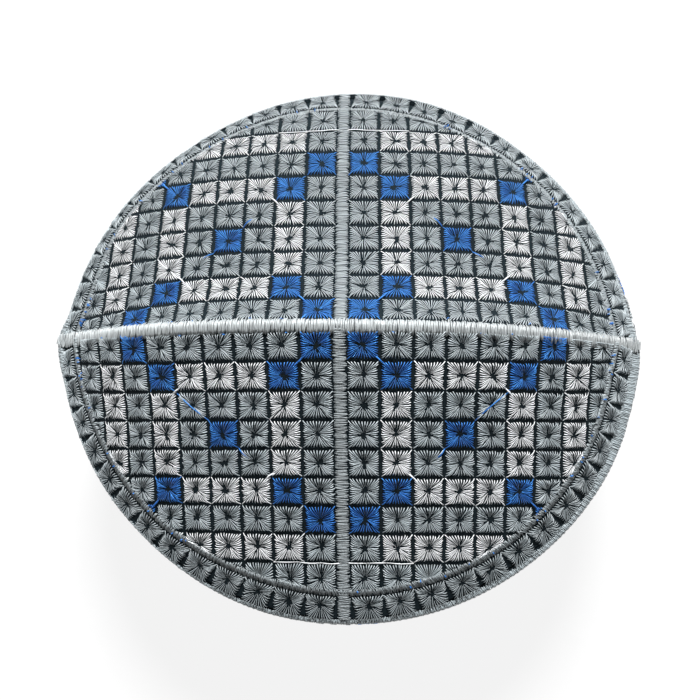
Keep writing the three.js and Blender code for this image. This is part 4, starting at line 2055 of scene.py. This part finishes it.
@dataclass
class Studio:
    """Plain pale floor, soft lights and the photograph's camera.

    Studio sizes are in metres. The camera's place is in millimetres, and its picture's focal
    length and middle are in pixels of the photograph.
    """

    floor_size: float = 6.0
    floor_drop: float = 0.0002
    floor_glow: float = 0.88
    paper: tuple[tuple[float, ...], ...] = ((0.11, 0.11, 0.11, 1.0), (0.14, 0.14, 0.14, 1.0))
    paper_scale: float = 140.0
    key_turn: float = 4.0
    key_height: float = 39.0
    key_distance: float = 1.6
    key_target: float = 0.07
    key_size: float = 0.55
    key_power: float = 63.0
    fill_colour: tuple[float, ...] = (0.96, 0.98, 1.0, 1.0)
    fill_strength: float = 0.055
    camera_place: tuple[float, float, float] = (12.27, -42.95, 298.8)
    camera_forward: tuple[float, float, float] = (-0.052395, 0.183467, -0.981629)
    camera_right: tuple[float, float, float] = (0.998587, 0.018374, -0.049866)
    sensor_mm: float = 36.0
    focal_pixels: float = 751.99
    centre_pixels: tuple[float, float] = (342.45, 334.78)
    image_pixels: float = 700.0

    def floor(self) -> None:
        """Builds the floor with its own faintly mottled, faintly glowing paper."""
        mesh = bpy.data.meshes.new("floor")
        half = self.floor_size / 2
        corners = [(-half, -half, 0), (half, -half, 0), (half, half, 0), (-half, half, 0)]
        mesh.from_pydata(corners, [], [(0, 1, 2, 3)])
        piece = bpy.data.objects.new("floor", mesh)
        piece.location.z = -self.floor_drop
        bpy.context.scene.collection.objects.link(piece)
        material, bench, shader = start_material("studio_paper")
        mottle = bench.noise(bench.node("TexCoord").outputs["Object"], self.paper_scale, 4.0)
        bench.feed(shader, {
            "Base Color": bench.mix(mottle, *self.paper),
            "Normal": bench.bump(mottle, strength=0.1, depth=0.1),
            "Roughness": 0.9,
            "Specular IOR Level": 0.2,
            "Emission Color": (1.0, 1.0, 1.0, 1.0),
            "Emission Strength": self.floor_glow,
        })
        mesh.materials.append(material)

    def lights(self) -> None:
        """Puts one large key light behind the cap and high, and a soft fill all round."""
        turn, rise = math.radians(self.key_turn), math.radians(self.key_height)
        level = math.cos(rise)
        out = Vector((math.sin(turn) * level, math.cos(turn) * level, math.sin(rise)))
        lamp = bpy.data.lights.new("key_light", "AREA")
        lamp.shape = "DISK"
        lamp.size = self.key_size
        lamp.energy = self.key_power
        key = bpy.data.objects.new("key_light", lamp)
        key.location = out * self.key_distance + Vector((0, 0, self.key_target))
        key.rotation_mode = "QUATERNION"
        key.rotation_quaternion = out.to_track_quat("Z", "Y")
        bpy.context.scene.collection.objects.link(key)
        world = bpy.data.worlds.new("studio")
        world.use_nodes = True
        sky = world.node_tree.nodes["Background"]
        sky.inputs["Color"].default_value = self.fill_colour
        sky.inputs["Strength"].default_value = self.fill_strength
        bpy.context.scene.world = world

    def camera(self) -> None:
        """Puts the camera where the photograph was taken from."""
        data = bpy.data.cameras.new("camera")
        data.sensor_width = self.sensor_mm
        data.lens = self.focal_pixels / self.image_pixels * data.sensor_width
        data.shift_x = (self.image_pixels / 2 - self.centre_pixels[0]) / self.image_pixels
        data.shift_y = (self.centre_pixels[1] - self.image_pixels / 2) / self.image_pixels
        data.clip_start, data.clip_end = 0.01, 20.0
        camera = bpy.data.objects.new("camera", data)
        forward, right = Vector(self.camera_forward), Vector(self.camera_right)
        forward.normalize()
        right = (right - forward * right.dot(forward)).normalized()
        facing = Matrix((right, right.cross(forward), -forward)).transposed().to_4x4()
        camera.matrix_world = Matrix.Translation(Vector(self.camera_place) * METRE) @ facing
        bpy.context.scene.collection.objects.link(camera)
        bpy.context.scene.camera = camera

    def build(self) -> None:
        """Sets up the studio."""
        self.camera()
        self.floor()
        self.lights()
        bpy.context.scene.view_settings.view_transform = "Standard"


def report(pieces: list[bpy.types.Object]) -> None:
    """Logs each piece's name and how many triangles it holds.

    Args:
        pieces: The pieces.
    """
    for piece in pieces:
        piece.data.calc_loop_triangles()
        LOG.info("%s: %d triangles", piece.name, len(piece.data.loop_triangles))


def main() -> None:
    """Dresses the cap and sets up the studio."""
    logging.basicConfig(level=logging.INFO, format="%(name)s: %(message)s")
    Studio().build()
    wardrobe, rng = Wardrobe(), np.random.default_rng(SEED)
    for side in Side:
        own_rng = np.random.default_rng(SEED + side.value)
        report(CrownCloth(wardrobe, own_rng, side).build())
        report(CrownEmbroidery(wardrobe, own_rng, side).build())
    for part in (RidgeSeam, RimSeam, SideBand, HemEdge):
        report(part(wardrobe, rng).build())


if __name__ == "__main__":
    main()
